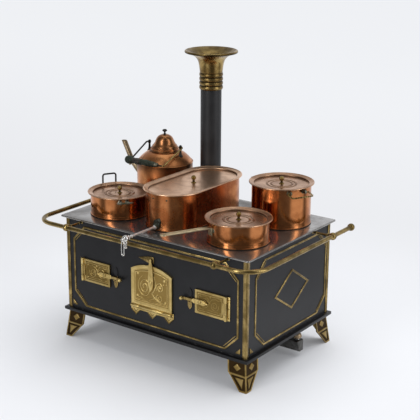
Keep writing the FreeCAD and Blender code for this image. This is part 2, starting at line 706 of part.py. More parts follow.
def side_hinge():
    """Leaf on the panel with an end knuckle above and below the door's own, and its pin."""
    bottom = DOOR_MID_Z - DOOR_H / 2
    top = DOOR_MID_Z + DOOR_H / 2
    inner = HINGE_X - KNUCKLE_R
    leaf = front_plate(*rectangle(inner, inner + LEAF_W, bottom, top), FRONT, FRONT - LEAF_T)
    shapes = [leaf]
    reach = SIDE_KNUCKLE / 2 + END_CLEAR
    for z_span in ((bottom, DOOR_MID_Z - reach), (DOOR_MID_Z + reach, top)):
        shapes.append(rod((HINGE_X, HINGE_Y, z_span[0]), (HINGE_X, HINGE_Y, z_span[1]), KNUCKLE_R))
        shapes.append(box((HINGE_X - PIN_R, HINGE_X + PIN_R), (HINGE_Y, FRONT - LEAF_T), z_span))
    pin_low = (HINGE_X, HINGE_Y, bottom)
    pin_high = (HINGE_X, HINGE_Y, top)
    hinge = joined(shapes).cut(rod(pin_low, pin_high, PIN_R + FIT))
    head = rod(pin_high, (HINGE_X, HINGE_Y, top + PIN_HEAD), KNUCKLE_R)
    pin = joined([rod(pin_low, pin_high, PIN_R), head])
    return [hinge, pin]


def fire_apron():
    """Toothed apron with the end knuckles of the fire door."""
    half = FIRE_DOOR_W / 2 + APRON_LIP
    top = FIRE_HINGE_Z + KNUCKLE_R
    valley = FIRE_HINGE_Z - APRON_DROP
    tip = valley - APRON_POINT
    tooth = APRON_POINT
    side_tip = half - tooth
    steps = [(-half, valley), (-side_tip, tip), (-side_tip + tooth, valley), (-tooth, valley), (0, tip),
             (tooth, valley), (side_tip - tooth, valley), (side_tip, tip), (half, valley), (half, top)]
    shapes = [front_plate((-half, top), steps, FRONT, FRONT - LEAF_T)]
    inner = FIRE_KNUCKLE / 2 + END_CLEAR
    outer = FIRE_DOOR_W / 2
    for x_span in ((-outer, -inner), (inner, outer)):
        shapes.append(rod((x_span[0], HINGE_Y, FIRE_HINGE_Z), (x_span[1], HINGE_Y, FIRE_HINGE_Z), KNUCKLE_R))
        z_span = (FIRE_HINGE_Z - PIN_R, FIRE_HINGE_Z + PIN_R)
        shapes.append(box(x_span, (HINGE_Y, FRONT - LEAF_T), z_span))
    ends = ((-outer, HINGE_Y, FIRE_HINGE_Z), (outer, HINGE_Y, FIRE_HINGE_Z))
    return joined(shapes).cut(rod(*ends, PIN_R + FIT)), rod(*ends, PIN_R)


def side_latch():
    """Latch bar of the right door: point over the door, round button past the keeper."""
    x = DOOR_X - DOOR_W / 2 + LATCH_INSET
    half = LATCH_H / 2
    end = x - LATCH_ARM
    shoulder = x + LATCH_TIP - LATCH_H
    steps = [(shoulder, DOOR_MID_Z - half), (x + LATCH_TIP, DOOR_MID_Z), (shoulder, DOOR_MID_Z + half),
             (end, DOOR_MID_Z + half)]
    bar = front_plate((end, DOOR_MID_Z - half), steps, LATCH_BACK_Y, LATCH_FACE_Y)
    button = turned((0, 0), [(LATCH_BUTTON_R, 0), (LATCH_BUTTON_R, LATCH_T),
                             dome(LATCH_BUTTON_R, LATCH_T, LATCH_T + LATCH_BUTTON_R)])
    button.rotate(Vector(0, 0, 0), Vector(1, 0, 0), 90)
    hole = rod((x, LATCH_BACK_Y, DOOR_MID_Z), (x, LATCH_FACE_Y, DOOR_MID_Z), STUD_R + RUN_CLEAR)
    return joined([bar, at(button, end, LATCH_BACK_Y, DOOR_MID_Z)]).cut(hole)


def fire_latch():
    """Upright latch bar of the fire door, with a round tail."""
    half = LATCH_H / 2
    low = FIRE_LATCH_MID_Z - LATCH_TIP
    high = FIRE_LATCH_MID_Z + FIRE_LATCH_ARM
    steps = [(half, low), (half, high - half), ((0, high), (-half, high - half))]
    bar = front_plate((-half, low), steps, LATCH_BACK_Y, LATCH_FACE_Y)
    tail = rod((0, LATCH_BACK_Y, low), (0, LATCH_FACE_Y, low), LATCH_H)
    hole = rod((0, LATCH_BACK_Y, FIRE_LATCH_MID_Z), (0, LATCH_FACE_Y, FIRE_LATCH_MID_Z), STUD_R + RUN_CLEAR)
    return joined([bar, tail]).cut(hole)


def side_keeper():
    """Pair of leaves behind the latch bar, with the peg that the bar rests on."""
    x = DOOR_X - DOOR_W / 2 - KEEPER_OFF
    half = KEEPER_W / 2
    face = FRONT - KEEPER_T
    middle = KEEPER_HALF / 2
    shapes = []
    for sign in (-1, 1):
        tip = (x, DOOR_MID_Z + sign * KEEPER_HALF)
        left = (x - half, DOOR_MID_Z + sign * middle)
        right = (x + half, DOOR_MID_Z + sign * middle)
        shapes.append(front_plate((x, DOOR_MID_Z), [(left, tip), (right, (x, DOOR_MID_Z))], FRONT, face))
    square = rectangle(x - half, x + half, DOOR_MID_Z - half, DOOR_MID_Z + half)
    shapes.append(front_plate(*square, FRONT, face))
    peg_top = DOOR_MID_Z - LATCH_H / 2 - PEG_CLEAR
    shapes.append(box((x - PEG_W / 2, x + PEG_W / 2), (PEG_Y, FRONT), (peg_top - PEG_H, peg_top)))
    return joined(shapes)


def fire_keeper():
    """Leaf above the fire door, with the peg that stops the latch bar."""
    top = FIRE_LATCH_MID_Z + FIRE_LATCH_ARM + LATCH_H / 2
    bottom = top - FIRE_KEEPER_H
    middle = (top + bottom) / 2
    right = LATCH_H
    tip = (right - FIRE_KEEPER_W, middle)
    shoulder = right - 2 * FIRE_KEEPER_H
    lower = ((shoulder, (bottom + middle) / 2), (right - FIRE_KEEPER_H, bottom))
    upper = ((shoulder, (top + middle) / 2), tip)
    leaf = front_plate(tip, [lower, (right, bottom), (right, top), (right - FIRE_KEEPER_H, top), upper],
                       FRONT, FRONT - KEEPER_T)
    peg_right = -LATCH_H / 2 - PEG_CLEAR
    peg = box((peg_right - PEG_H, peg_right), (PEG_Y, FRONT), (middle - PEG_W / 2, middle + PEG_W / 2))
    return joined([leaf, peg])


def oven_box():
    """Right oven: open tin box behind the door opening."""
    half_w = DOOR_W / 2 - DOOR_LAP
    half_h = DOOR_H / 2 - DOOR_LAP
    y_front = FRONT + SHEET
    y_back = y_front + OVEN_DEPTH
    outer = box((DOOR_X - half_w - OVEN_WALL, DOOR_X + half_w + OVEN_WALL), (y_front, y_back),
                (DOOR_MID_Z - half_h - OVEN_WALL, DOOR_MID_Z + half_h + OVEN_WALL))
    inner = box((DOOR_X - half_w, DOOR_X + half_w), (y_front, y_back - OVEN_WALL),
                (DOOR_MID_Z - half_h, DOOR_MID_Z + half_h))
    return outer.cut(inner)


def wick_places():
    """X of each wick, spread about the middle."""
    return [(count - (WICK_COUNT - 1) / 2) * WICK_STEP for count in range(WICK_COUNT)]


def burner():
    """Tank with side flanges and a filling arm, its wicks, its cap and the guides that carry it."""
    half_l = TANK_L / 2
    half_w = TANK_W / 2
    top = TANK_LIFT + TANK_H
    z_span = (TANK_LIFT, top)
    flange_top = top - TANK_FLANGE_DROP
    flange_bottom = flange_top - TANK_FLANGE_T
    flange_half = half_w + TANK_FLANGE
    tank = joined([
        box((-half_l, half_l), (BURNER_Y - half_w, BURNER_Y + half_w), z_span),
        box((-half_l, half_l), (BURNER_Y - flange_half, BURNER_Y + flange_half), (flange_bottom, flange_top)),
        box((half_l - ARM_W, SIDE), (BURNER_Y - ARM_W / 2, BURNER_Y + ARM_W / 2), z_span)])
    wicks = [rod((x, BURNER_Y, top), (x, BURNER_Y, top + WICK_H), WICK_R) for x in wick_places()]

    neck_top = top + CAP_NECK_H
    brim = neck_top + CAP_R / 2
    cap = turned((0, top), [(CAP_NECK_R, top), (CAP_NECK_R, neck_top), (CAP_R, neck_top), (CAP_R, brim),
                            dome(CAP_R, brim, brim + CAP_R)])
    cap = at(cap, SIDE - CAP_INSET, BURNER_Y)

    web_inner = flange_half + GUIDE_CLEAR
    lip_top = flange_bottom - GUIDE_CLEAR
    x_span = (-half_l, half_l)
    web = box(x_span, (web_inner, web_inner + GUIDE_T), (lip_top - GUIDE_T, FOOT_H))
    lip = box(x_span, (web_inner - GUIDE_LIP, web_inner + GUIDE_T), (lip_top - GUIDE_T, lip_top))
    guide = joined([web, lip])
    guides = [at(guide, 0, BURNER_Y), at(guide.mirror(Vector(0, 0, 0), Vector(0, 1, 0)), 0, BURNER_Y)]
    return {"burner_tank": tank, "wick_tubes": Part.makeCompound(wicks), "filler_cap": cap,
            "burner_guides": Part.makeCompound(guides)}


def pot_body(radius, height, half=0.0):
    """Open pot with a bead at its foot and a bottom that hangs in the hob."""
    seat = radius - SEAT_STEP - SEAT_CLEAR
    bottom = HOB - SEAT_DROP
    rim = HOB + height
    inner = radius - POT_WALL
    steps = [(seat, bottom), (seat, HOB), (radius, HOB),
             ((radius + POT_BEAD, HOB + POT_BEAD), (radius, HOB + 2 * POT_BEAD)), (radius, rim), (inner, rim),
             (inner, HOB + POT_WALL), (seat - POT_WALL, HOB + POT_WALL), (seat - POT_WALL, bottom + POT_WALL),
             (0, bottom + POT_WALL)]
    return turned((0, bottom), steps, half)


def lid_panel(height):
    """Top of a lid's sunk middle."""
    return HOB + height - LID_PLUG_H + LID_SHEET


def pot_lid(radius, height, half=0.0):
    """Lid with a sunk middle, and a brim that rises to a rolled edge."""
    rim = HOB + height
    outer = radius + LID_LIP
    plug = radius - POT_WALL - LID_PLUG_CLEAR
    under = rim + LID_FLARE
    roll = under + LID_ROLL
    inner = plug - LID_SHEET
    panel = lid_panel(height)
    steps = [(plug, rim - LID_PLUG_H), (plug, rim), (radius, rim), (outer - LID_ROLL, under),
             ((outer, roll), (outer - LID_ROLL, roll + LID_ROLL)), (outer - 2 * LID_ROLL, roll),
             (inner, rim + LID_SHEET), (inner, panel), (0, panel)]
    return turned((0, rim - LID_PLUG_H), steps, half)


def lid_knob(height):
    """Turned brass knob on a lid panel."""
    foot = lid_panel(height)
    top = foot + LID_KNOB_H
    neck = top - LID_KNOB_R - math.sqrt(LID_KNOB_R ** 2 - LID_KNOB_NECK_R ** 2)
    steps = [(LID_KNOB_R, foot), (LID_KNOB_NECK_R, neck), dome(LID_KNOB_NECK_R, neck, top)]
    return turned((0, foot), steps)


def pot_ears(height, turns, width, out):
    """Pairs of small soldered ears on the pot wall, one pair for each loop."""
    z = HOB + height - LOOP_DROP
    pivot = POT_R + out
    outer = width / 2 - LOOP_BEND - EAR_GAP
    wall = rod((0, 0, HOB), (0, 0, HOB + height), POT_R)
    ears = []
    for turn in turns:
        for y_span in ((outer - EAR_T, outer), (-outer, EAR_T - outer)):
            arm = box((POT_R - width / 2, pivot), y_span, (z - EAR_R, z + EAR_R))
            eye = rod((pivot, y_span[0], z), (pivot, y_span[1], z), EAR_R)
            hole = rod((pivot, y_span[0], z), (pivot, y_span[1], z), LOOP_WIRE_R + LOOP_CLEAR)
            ears.append(swung(joined([arm, eye]).cut(hole).cut(wall), turn))
    return Part.makeCompound(ears)


def loop_handle(height, turn, tilt, width, length, out):
    """Wire loop with its ends turned inwards through the ears."""
    z = HOB + height - LOOP_DROP
    pivot = POT_R + out
    end = pivot + length
    half = width / 2
    inner = half - LOOP_BEND - 2 * EAR_GAP - EAR_T
    points = [(pivot, -inner, z), (pivot, -half, z), (end, -half, z), (end, half, z), (pivot, half, z),
              (pivot, inner, z)]
    loop = bent_rod(points, LOOP_BEND, LOOP_WIRE_R)
    loop.rotate(Vector(pivot, 0, z), Vector(0, -1, 0), tilt)
    return swung(loop, turn)


def saucepan_handle():
    """Flat strip with a riveted tab on the pot wall and an eye at the end."""
    z_top = HOB + LOW_POT_H - HANDLE_DROP
    end = POT_R + HANDLE_L
    half = HANDLE_W / 2
    z_span = (z_top - HANDLE_T, z_top)
    strip = box((POT_R, end), (-half, half), z_span)
    eye = rod((end, 0, z_span[0]), (end, 0, z_top), HANDLE_EYE_R)
    hole = rod((end, 0, z_span[0]), (end, 0, z_top), HANDLE_HOLE_R)
    tab_half = HANDLE_TAB_W / 2
    tab = box((0, POT_R + HANDLE_T), (-tab_half, tab_half), (z_top - HANDLE_TAB_H, z_top))
    shell = rod((0, 0, HOB), (0, 0, HOB + LOW_POT_H), POT_R)
    return swung(joined([strip, eye, tab]).cut(hole).cut(shell), HANDLE_TURN)


def kettle_body():
    """Kettle with a sloping shoulder, a short neck and two ears for the bail."""
    seat = SEAT_R - SEAT_CLEAR
    bottom = HOB - SEAT_DROP
    shoulder = HOB + KETTLE_H
    neck = shoulder + KETTLE_SHOULDER_H
    rim = neck + KETTLE_NECK_H
    inner = POT_R - POT_WALL
    mouth = KETTLE_NECK_R - POT_WALL
    slope = KETTLE_SHOULDER_H / (POT_R - KETTLE_NECK_R)
    thick = POT_WALL * math.sqrt(1 + slope ** 2)
    steps = [(seat, bottom), (seat, HOB), (POT_R, HOB),
             ((POT_R + POT_BEAD, HOB + POT_BEAD), (POT_R, HOB + 2 * POT_BEAD)), (POT_R, shoulder),
             (KETTLE_NECK_R, neck), (KETTLE_NECK_R, rim), (mouth, rim),
             (mouth, shoulder + (POT_R - mouth) * slope - thick),
             (inner, shoulder + POT_WALL * slope - thick), (inner, HOB + POT_WALL),
             (seat - POT_WALL, HOB + POT_WALL), (seat - POT_WALL, bottom + POT_WALL), (0, bottom + POT_WALL)]
    shell = turned((0, bottom), steps)
    shell = shell.cut(bent_rod(spout_line(), SPOUT_BEND, SPOUT_R - SPOUT_WALL))

    pivot = HOB + BAIL_LIFT
    half = BAIL_EAR_W / 2
    low = shoulder + (POT_R - BAIL_EAR_X - BAIL_EAR_T / 2) * slope - thick / 2
    shapes = [shell]
    for sign in (-1, 1):
        x_span = sorted((sign * (BAIL_EAR_X - BAIL_EAR_T / 2), sign * (BAIL_EAR_X + BAIL_EAR_T / 2)))
        start = (x_span[0], 0, pivot)
        end = (x_span[1], 0, pivot)
        ear = joined([box(x_span, (-half, half), (low, pivot)), rod(start, end, half)])
        shapes.append(ear.cut(rod(start, end, BAIL_WIRE_R + LOOP_CLEAR)))
    return joined(shapes)


def spout_line():
    """Middle line of the kettle spout, from inside the wall to past its tip."""
    slope = (SPOUT_ELBOW_LIFT - SPOUT_LIFT) / SPOUT_ELBOW_OUT
    inside = 2 * SPOUT_R
    past = (SPOUT_TIP_OUT - SPOUT_ELBOW_OUT) / (SPOUT_TIP_LIFT - SPOUT_ELBOW_LIFT) * SPOUT_R
    return [(-POT_R + inside, 0, HOB + SPOUT_LIFT - inside * slope),
            (-POT_R - SPOUT_ELBOW_OUT, 0, HOB + SPOUT_ELBOW_LIFT),
            (-POT_R - SPOUT_TIP_OUT - past, 0, HOB + SPOUT_TIP_LIFT + SPOUT_R)]


def kettle_spout():
    """Bent tube, cut level at its tip."""
    line = spout_line()
    tube = bent_rod(line, SPOUT_BEND, SPOUT_R).cut(bent_rod(line, SPOUT_BEND, SPOUT_R - SPOUT_WALL))
    tube = tube.cut(rod((0, 0, HOB), (0, 0, HOB + KETTLE_H), POT_R))
    tip = HOB + SPOUT_TIP_LIFT
    left = -POT_R - SPOUT_TIP_OUT - 2 * SPOUT_R
    return tube.cut(box((left - SPOUT_R, -POT_R), (-2 * SPOUT_R, 2 * SPOUT_R), (tip, tip + 3 * SPOUT_R)))


def kettle_lid():
    """Bell shaped lid with a ring that drops into the neck."""
    rim = HOB + KETTLE_H + KETTLE_SHOULDER_H + KETTLE_NECK_H
    plug = KETTLE_NECK_R - POT_WALL - KETTLE_PLUG_CLEAR
    bore = plug - LID_SHEET
    waist_z = rim + KETTLE_LID_WAIST_H
    top = rim + KETTLE_LID_H
    flange = rim + LID_SHEET
    flare_via = ((KETTLE_LID_R + KETTLE_LID_WAIST_R) / 2 - LID_SHEET / 2, (flange + waist_z) / 2 - LID_SHEET)
    crown_via = (KETTLE_CROWN_BULGE, (waist_z + top) / 2 + LID_SHEET)
    steps = [(bore, rim - LID_PLUG_H), (plug, rim - LID_PLUG_H), (plug, rim), (KETTLE_LID_R, rim),
             (KETTLE_LID_R, flange), (flare_via, (KETTLE_LID_WAIST_R, waist_z)),
             (crown_via, (KETTLE_CROWN_R, top)), (0, top), (0, top - 2 * LID_SHEET),
             (KETTLE_LID_WAIST_R - 2 * LID_SHEET, waist_z)]
    return turned((bore, rim), steps)


def kettle_knob():
    """Dark mushroom knob on the kettle lid."""
    foot = HOB + KETTLE_H + KETTLE_SHOULDER_H + KETTLE_NECK_H + KETTLE_LID_H
    top = foot + KETTLE_KNOB_H
    under = top - KETTLE_KNOB_R
    brim = under + KETTLE_KNOB_SKIRT
    steps = [(KETTLE_KNOB_STEM_R, foot), (KETTLE_KNOB_STEM_R, under), (KETTLE_KNOB_R, brim),
             dome(KETTLE_KNOB_R, brim, top)]
    return turned((0, foot), steps)


def bail_turn(shape):
    """Bail piece tilted from level to its rest angle about its pivot."""
    shape.rotate(Vector(0, 0, HOB + BAIL_LIFT), Vector(-1, 0, 0), BAIL_REST)
    return shape


def bail_wire(radius):
    """Bail of that thickness: ends through the ears, arms to the front and a bar for the grip."""
    z = HOB + BAIL_LIFT
    inner = BAIL_EAR_X - BAIL_EAR_T / 2 - EAR_GAP
    outer = BAIL_EAR_X + BAIL_EAR_T / 2 + BAIL_OUT
    points = [(-inner, 0, z), (-outer, 0, z), (-BAIL_BAR_HALF, -BAIL_ARM, z), (BAIL_BAR_HALF, -BAIL_ARM, z),
              (outer, 0, z), (inner, 0, z)]
    return bail_turn(bent_rod(points, BAIL_BEND, radius))


def kettle_grip():
    """Turned wooden grip on the bar of the bail, with a bulb at its left end."""
    neck = -GRIP_LEFT + GRIP_BULB_L
    middle = (neck + GRIP_RIGHT) / 2
    steps = [(GRIP_NECK_R, -GRIP_LEFT), ((GRIP_BULB_R, -GRIP_LEFT + GRIP_BULB_L / 2), (GRIP_NECK_R, neck)),
             ((GRIP_R, middle), (GRIP_END_R, GRIP_RIGHT)), (0, GRIP_RIGHT)]
    grip = turned((0, -GRIP_LEFT), steps)
    grip.rotate(Vector(0, 0, 0), Vector(0, 1, 0), 90)
    grip = bail_turn(at(grip, 0, -BAIL_ARM, HOB + BAIL_LIFT))
    return grip.cut(bail_wire(BAIL_WIRE_R + FIT))


def tap():
    """Boss on the boiler's near end, pipe over the rail, ball with a spout, and the hanging lever."""
    wall = turned((0, HOB), [(BOILER_R, HOB), (BOILER_R, HOB + BOILER_H), (0, HOB + BOILER_H)], BOILER_HALF)
    end_y = -BOILER_HALF - BOILER_R
    boss_z = HOB + TAP_BOSS_LIFT
    boss = rod((0, end_y + TAP_BOSS_R, boss_z), (0, end_y - TAP_BOSS_T, boss_z), TAP_BOSS_R)
    pipe = rod((0, end_y, TAP_Z), (0, TAP_BALL_Y, TAP_Z), TAP_PIPE_R)
    valve = ball((0, TAP_BALL_Y, TAP_Z), TAP_BALL_R)
    spout_ends = ((0, TAP_BALL_Y, TAP_Z), (0, TAP_BALL_Y, TAP_Z - TAP_SPOUT_H))
    spout = rod(*spout_ends, TAP_SPOUT_R)
    pin = rod((0, TAP_BALL_Y, TAP_Z), (0, LEVER_PIN_Y, TAP_Z), LEVER_PIN_R)
    head = rod((0, LEVER_PIN_Y, TAP_Z), (0, LEVER_PIN_Y - STUD_HEAD_T, TAP_Z), LEVER_W / 2)
    body = joined([boss, pipe, valve, spout, pin, head]).cut(rod(*spout_ends, TAP_BORE_R)).cut(wall)

    half = LEVER_W / 2
    slot = half - LEVER_RIM
    back = LEVER_FACE_Y + LEVER_T
    low = TAP_Z - LEVER_L
    plate = front_plate((half, TAP_Z), [((0, TAP_Z + half), (-half, TAP_Z)), (-half, low),
                                        ((0, low - half), (half, low))], back, LEVER_FACE_Y)
    high = TAP_Z - LEVER_W
    gap = front_plate((slot, high), [((0, high + slot), (-slot, high)), (-slot, low),
                                     ((0, low - slot), (slot, low))], back, LEVER_FACE_Y)
    pin_hole = rod((0, back, TAP_Z), (0, LEVER_FACE_Y, TAP_Z), LEVER_PIN_R + RUN_CLEAR)
    lever = plate.cut(gap).cut(pin_hole)
    return {"tap_body": at(body, BOILER_X, 0), "tap_lever": at(lever, BOILER_X, 0)}


def pots():
    """Every vessel with its lid, knob and handles, at its place on the hob."""
    pieces = {}
    boiler = {"boiler_body": pot_body(BOILER_R, BOILER_H, BOILER_HALF),
              "boiler_lid": pot_lid(BOILER_R, BOILER_H, BOILER_HALF), "boiler_knob": lid_knob(BOILER_H)}
    casserole_turns = (CASSEROLE_FRONT_TURN, CASSEROLE_BACK_TURN)
    casserole_loop = (CASSEROLE_LOOP_W, CASSEROLE_LOOP_L, CASSEROLE_LOOP_OUT)
    casserole = {
        "casserole_body": pot_body(POT_R, LOW_POT_H), "casserole_lid": pot_lid(POT_R, LOW_POT_H),
        "casserole_knob": lid_knob(LOW_POT_H),
        "casserole_ears": pot_ears(LOW_POT_H, casserole_turns, CASSEROLE_LOOP_W, CASSEROLE_LOOP_OUT),
        "casserole_front_handle": loop_handle(LOW_POT_H, CASSEROLE_FRONT_TURN, CASSEROLE_FRONT_TILT,
                                              *casserole_loop),
        "casserole_back_handle": loop_handle(LOW_POT_H, CASSEROLE_BACK_TURN, CASSEROLE_BACK_TILT,
                                             *casserole_loop)}
    stockpot_turns = (STOCKPOT_RIGHT_TURN, STOCKPOT_LEFT_TURN)
    stockpot_loop = (STOCKPOT_LOOP_W, STOCKPOT_LOOP_L, STOCKPOT_LOOP_OUT)
    stockpot = {
        "stockpot_body": pot_body(POT_R, STOCKPOT_H), "stockpot_lid": pot_lid(POT_R, STOCKPOT_H),
        "stockpot_knob": lid_knob(STOCKPOT_H),
        "stockpot_ears": pot_ears(STOCKPOT_H, stockpot_turns, STOCKPOT_LOOP_W, STOCKPOT_LOOP_OUT),
        "stockpot_right_handle": loop_handle(STOCKPOT_H, STOCKPOT_RIGHT_TURN, STOCKPOT_TILT, *stockpot_loop),
        "stockpot_left_handle": loop_handle(STOCKPOT_H, STOCKPOT_LEFT_TURN, STOCKPOT_TILT, *stockpot_loop)}
    saucepan = {"saucepan_body": pot_body(POT_R, LOW_POT_H), "saucepan_lid": pot_lid(POT_R, LOW_POT_H),
                "saucepan_knob": lid_knob(LOW_POT_H), "saucepan_handle": saucepan_handle()}
    kettle = {"kettle_body": kettle_body(), "kettle_spout": kettle_spout(), "kettle_lid": kettle_lid(),
              "kettle_knob": kettle_knob(), "kettle_bail": bail_wire(BAIL_WIRE_R),
              "kettle_grip": kettle_grip()}
    places = ((boiler, BOILER_X, 0), (casserole, -POT_X, FRONT_ROW_Y), (stockpot, POT_X, BACK_ROW_Y),
              (saucepan, POT_X, FRONT_ROW_Y), (kettle, -POT_X, BACK_ROW_Y))
    for vessel, x, y in places:
        for name, shape in vessel.items():
            pieces[name] = at(shape, x, y)
    return pieces


def doors():
    """Doors, latches, hinges and keepers; the left ones mirror the right."""
    right_door = side_door()
    right_latch = side_latch()
    right_hinge = side_hinge()
    right_keeper = side_keeper()
    apron, fire_pin = fire_apron()
    hinges = right_hinge + [mirrored_x(shape) for shape in right_hinge] + [fire_pin]
    keepers = [right_keeper, mirrored_x(right_keeper), fire_keeper()]
    right_oven = oven_box()
    return {"right_door": right_door, "left_door": mirrored_x(right_door), "centre_door": fire_door(),
            "right_latch": right_latch, "left_latch": mirrored_x(right_latch), "centre_latch": fire_latch(),
            "door_hinges": Part.makeCompound(hinges), "centre_apron": apron,
            "door_keepers": Part.makeCompound(keepers), "right_oven_box": right_oven,
            "left_oven_box": mirrored_x(right_oven)}


def main():
    os.makedirs("parts", exist_ok=True)
    nodes = {"top_plate": top_plate(), "corner_posts": corner_posts(), "feet": feet(),
             "hand_rail": hand_rail(), "rail_fittings": rail_fittings()}
    for group in (panels(), mouldings(), chimney(), doors(), burner(), tap(), pots()):
        nodes.update(group)
    for name, shape in nodes.items():
        at(shape, 0, BODY_Y).exportStep("parts/" + name + ".step")


main()
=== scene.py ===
"""Tin toy stove with copper pots: the finished look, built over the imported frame.

Pieces are drawn in millimetres about the middle of the stove's body, and put into the frame in metres.
"""
import json
import math

import bmesh
import bpy
import numpy as np
from mathutils import Matrix, Vector


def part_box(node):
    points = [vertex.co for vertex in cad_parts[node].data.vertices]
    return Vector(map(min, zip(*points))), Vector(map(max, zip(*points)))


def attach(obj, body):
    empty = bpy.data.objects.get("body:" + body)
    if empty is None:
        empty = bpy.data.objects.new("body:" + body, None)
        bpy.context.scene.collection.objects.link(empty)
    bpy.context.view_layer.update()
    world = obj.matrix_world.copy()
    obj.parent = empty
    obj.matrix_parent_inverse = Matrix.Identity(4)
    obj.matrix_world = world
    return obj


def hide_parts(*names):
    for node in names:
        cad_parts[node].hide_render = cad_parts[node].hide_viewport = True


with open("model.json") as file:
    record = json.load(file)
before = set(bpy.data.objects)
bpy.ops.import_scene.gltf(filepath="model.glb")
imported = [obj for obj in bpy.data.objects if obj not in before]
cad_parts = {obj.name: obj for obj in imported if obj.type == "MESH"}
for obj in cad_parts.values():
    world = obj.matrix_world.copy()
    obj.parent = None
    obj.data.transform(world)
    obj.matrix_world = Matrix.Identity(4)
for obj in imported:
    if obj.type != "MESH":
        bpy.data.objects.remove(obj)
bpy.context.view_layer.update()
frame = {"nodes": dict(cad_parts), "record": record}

bl_info = {
    "name": "Tin toy stove",
    "version": (1, 0, 0),
    "blender": (4, 5, 0),
    "location": "View3D > Sidebar > Stove",
    "description": "Builds a tin toy stove with copper pots over its packed frame",
    "category": "Object",
}

MM = 0.001


def span(node):
    """Lowest and highest corner of a node in millimetres, in the frame."""
    low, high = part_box(node)
    return np.array(low) / MM, np.array(high) / MM


def middle_of(node):
    """Middle of a node seen from above, about the middle of the body."""
    low, high = span(node)
    return (low[0] + high[0]) / 2, (low[1] + high[1]) / 2 - MID_Y


WALL_LOW, WALL_HIGH = span("front_panel")
MID_Y = (WALL_LOW[1] + span("back_panel")[1][1]) / 2
SIDE = WALL_HIGH[0]
FRONT = WALL_LOW[1] - MID_Y
BACK = -FRONT
BASE_TOP = WALL_LOW[2]
BODY_TOP = WALL_HIGH[2]
HOB = span("top_plate")[1][2]
FOOT_H = span("base_plate")[0][2]

POT_R = 40.0
POT_WALL = 1.2
POT_BEAD = 0.8
POT_STEPS = 112
SEAT_STEP = 5.5
SEAT_DROP = 3.0
LID_SUNK = 1.4
LID_PLUG = 2.6
LID_BRIM = 4.0
LID_RINGS = (14.4, 19.6)
LOOP_DROP = 2.9
LOOP_BEND = 3.0
LOOP_HOOK = 3.2

DOOR_X = 95.25
DOOR_HALF = (23.25, 16.0)
DOOR_Z = BASE_TOP + 61.8
DOOR_BACK_Y = FRONT - 0.4
DOOR_FACE_Y = FRONT - 2.5
HINGE_X = 120.5
HINGE_Y = FRONT - 3.1
KNUCKLE_R = 2.0
FIRE_HALF = 34.0
FIRE_BOTTOM = BASE_TOP + 33.3
FIRE_SPRING = FIRE_BOTTOM + 50.0
FIRE_RISE = 9.0
FIRE_PIVOT_Z = FIRE_BOTTOM + 36.5
LATCH_Y = FRONT - 2.9
LATCH_FACE_Y = FRONT - 4.1
LATCH_X = 80.0
STUD_HOLE = 1.7

RAIL_Z = HOB - 5.3
RAIL_X = SIDE + 30.8
RAIL_Y = FRONT - 30.8
RAIL_R = 3.0
RAIL_BEND = 30.0
CHIMNEY = middle_of("chimney_pipe")
CHIMNEY_LOW, CHIMNEY_HIGH = span("chimney_pipe")
PIPE_R = (CHIMNEY_HIGH[0] - CHIMNEY_LOW[0]) / 2
PIPE_BORE = PIPE_R - 1.0
BURNER_Y = 35.0

CAMERA_AIM = (13.5, 9.84, 188.54)
CAMERA_TURN = 36.105
CAMERA_LIFT = 17.249
CAMERA_ROLL = 0.359
CAMERA_RANGE = 1506.91
CAMERA_LENS = 94.87
CAMERA_SENSOR = 36.0


class StoveSizes(bpy.types.PropertyGroup):
    """Small sizes of the finish that the frame doesn't give."""

    rivet: bpy.props.FloatProperty(
        name="Rivet", description="Radius of the rivets on pots and hinges", default=0.0011, unit="LENGTH")
    stamp: bpy.props.FloatProperty(
        name="Stamp", description="Depth of the stamped ornament", default=0.0009, unit="LENGTH")
    twist: bpy.props.FloatProperty(
        name="Twist", description="Turn of the twisted wire for each millimetre", default=math.radians(50),
        subtype="ANGLE")
    fibres: bpy.props.IntProperty(name="Fibres", description="Cotton fibres on each wick", default=70)


def colour_property(name, description, default):
    return bpy.props.FloatVectorProperty(name=name, description=description, default=default, subtype="COLOR")


class StoveColours(bpy.types.PropertyGroup):
    """Main colours of the stove and of the floor it stands on."""

    lacquer: colour_property("Lacquer", "Black lacquered tin", (0.0075, 0.0075, 0.0085))
    steel: colour_property("Steel", "Burnished hob", (0.385, 0.375, 0.362))
    brass: colour_property("Brass", "Brass where it is rubbed bright", (0.50, 0.358, 0.138))
    copper: colour_property("Copper", "Copper where it is rubbed bright", (0.64, 0.252, 0.092))
    lid: colour_property("Lid copper", "Paler copper of the lids", (0.70, 0.428, 0.264))
    pipe: colour_property("Stove paint", "Black paint of the flue", (0.018, 0.018, 0.019))
    tin: colour_property("Tinplate", "Dull tinplate", (0.36, 0.355, 0.34))
    floor: colour_property("Floor", "Floor round the stove", (0.80, 0.81, 0.835))


def sizes():
    return bpy.context.scene.stove_sizes


def colours():
    return bpy.context.scene.stove_colours


class Wire:
    """Output of a node; arithmetic on it adds Math nodes to the same tree."""

    def __init__(self, bench, socket):
        self.bench = bench
        self.socket = socket

    def __add__(self, other):
        return self.bench.maths("ADD", self, other)

    def __sub__(self, other):
        return self.bench.maths("SUBTRACT", self, other)

    def __rsub__(self, other):
        return self.bench.maths("SUBTRACT", other, self)

    def __mul__(self, other):
        return self.bench.maths("MULTIPLY", self, other)

    def __truediv__(self, other):
        return self.bench.maths("DIVIDE", self, other)

    __radd__ = __add__
    __rmul__ = __mul__


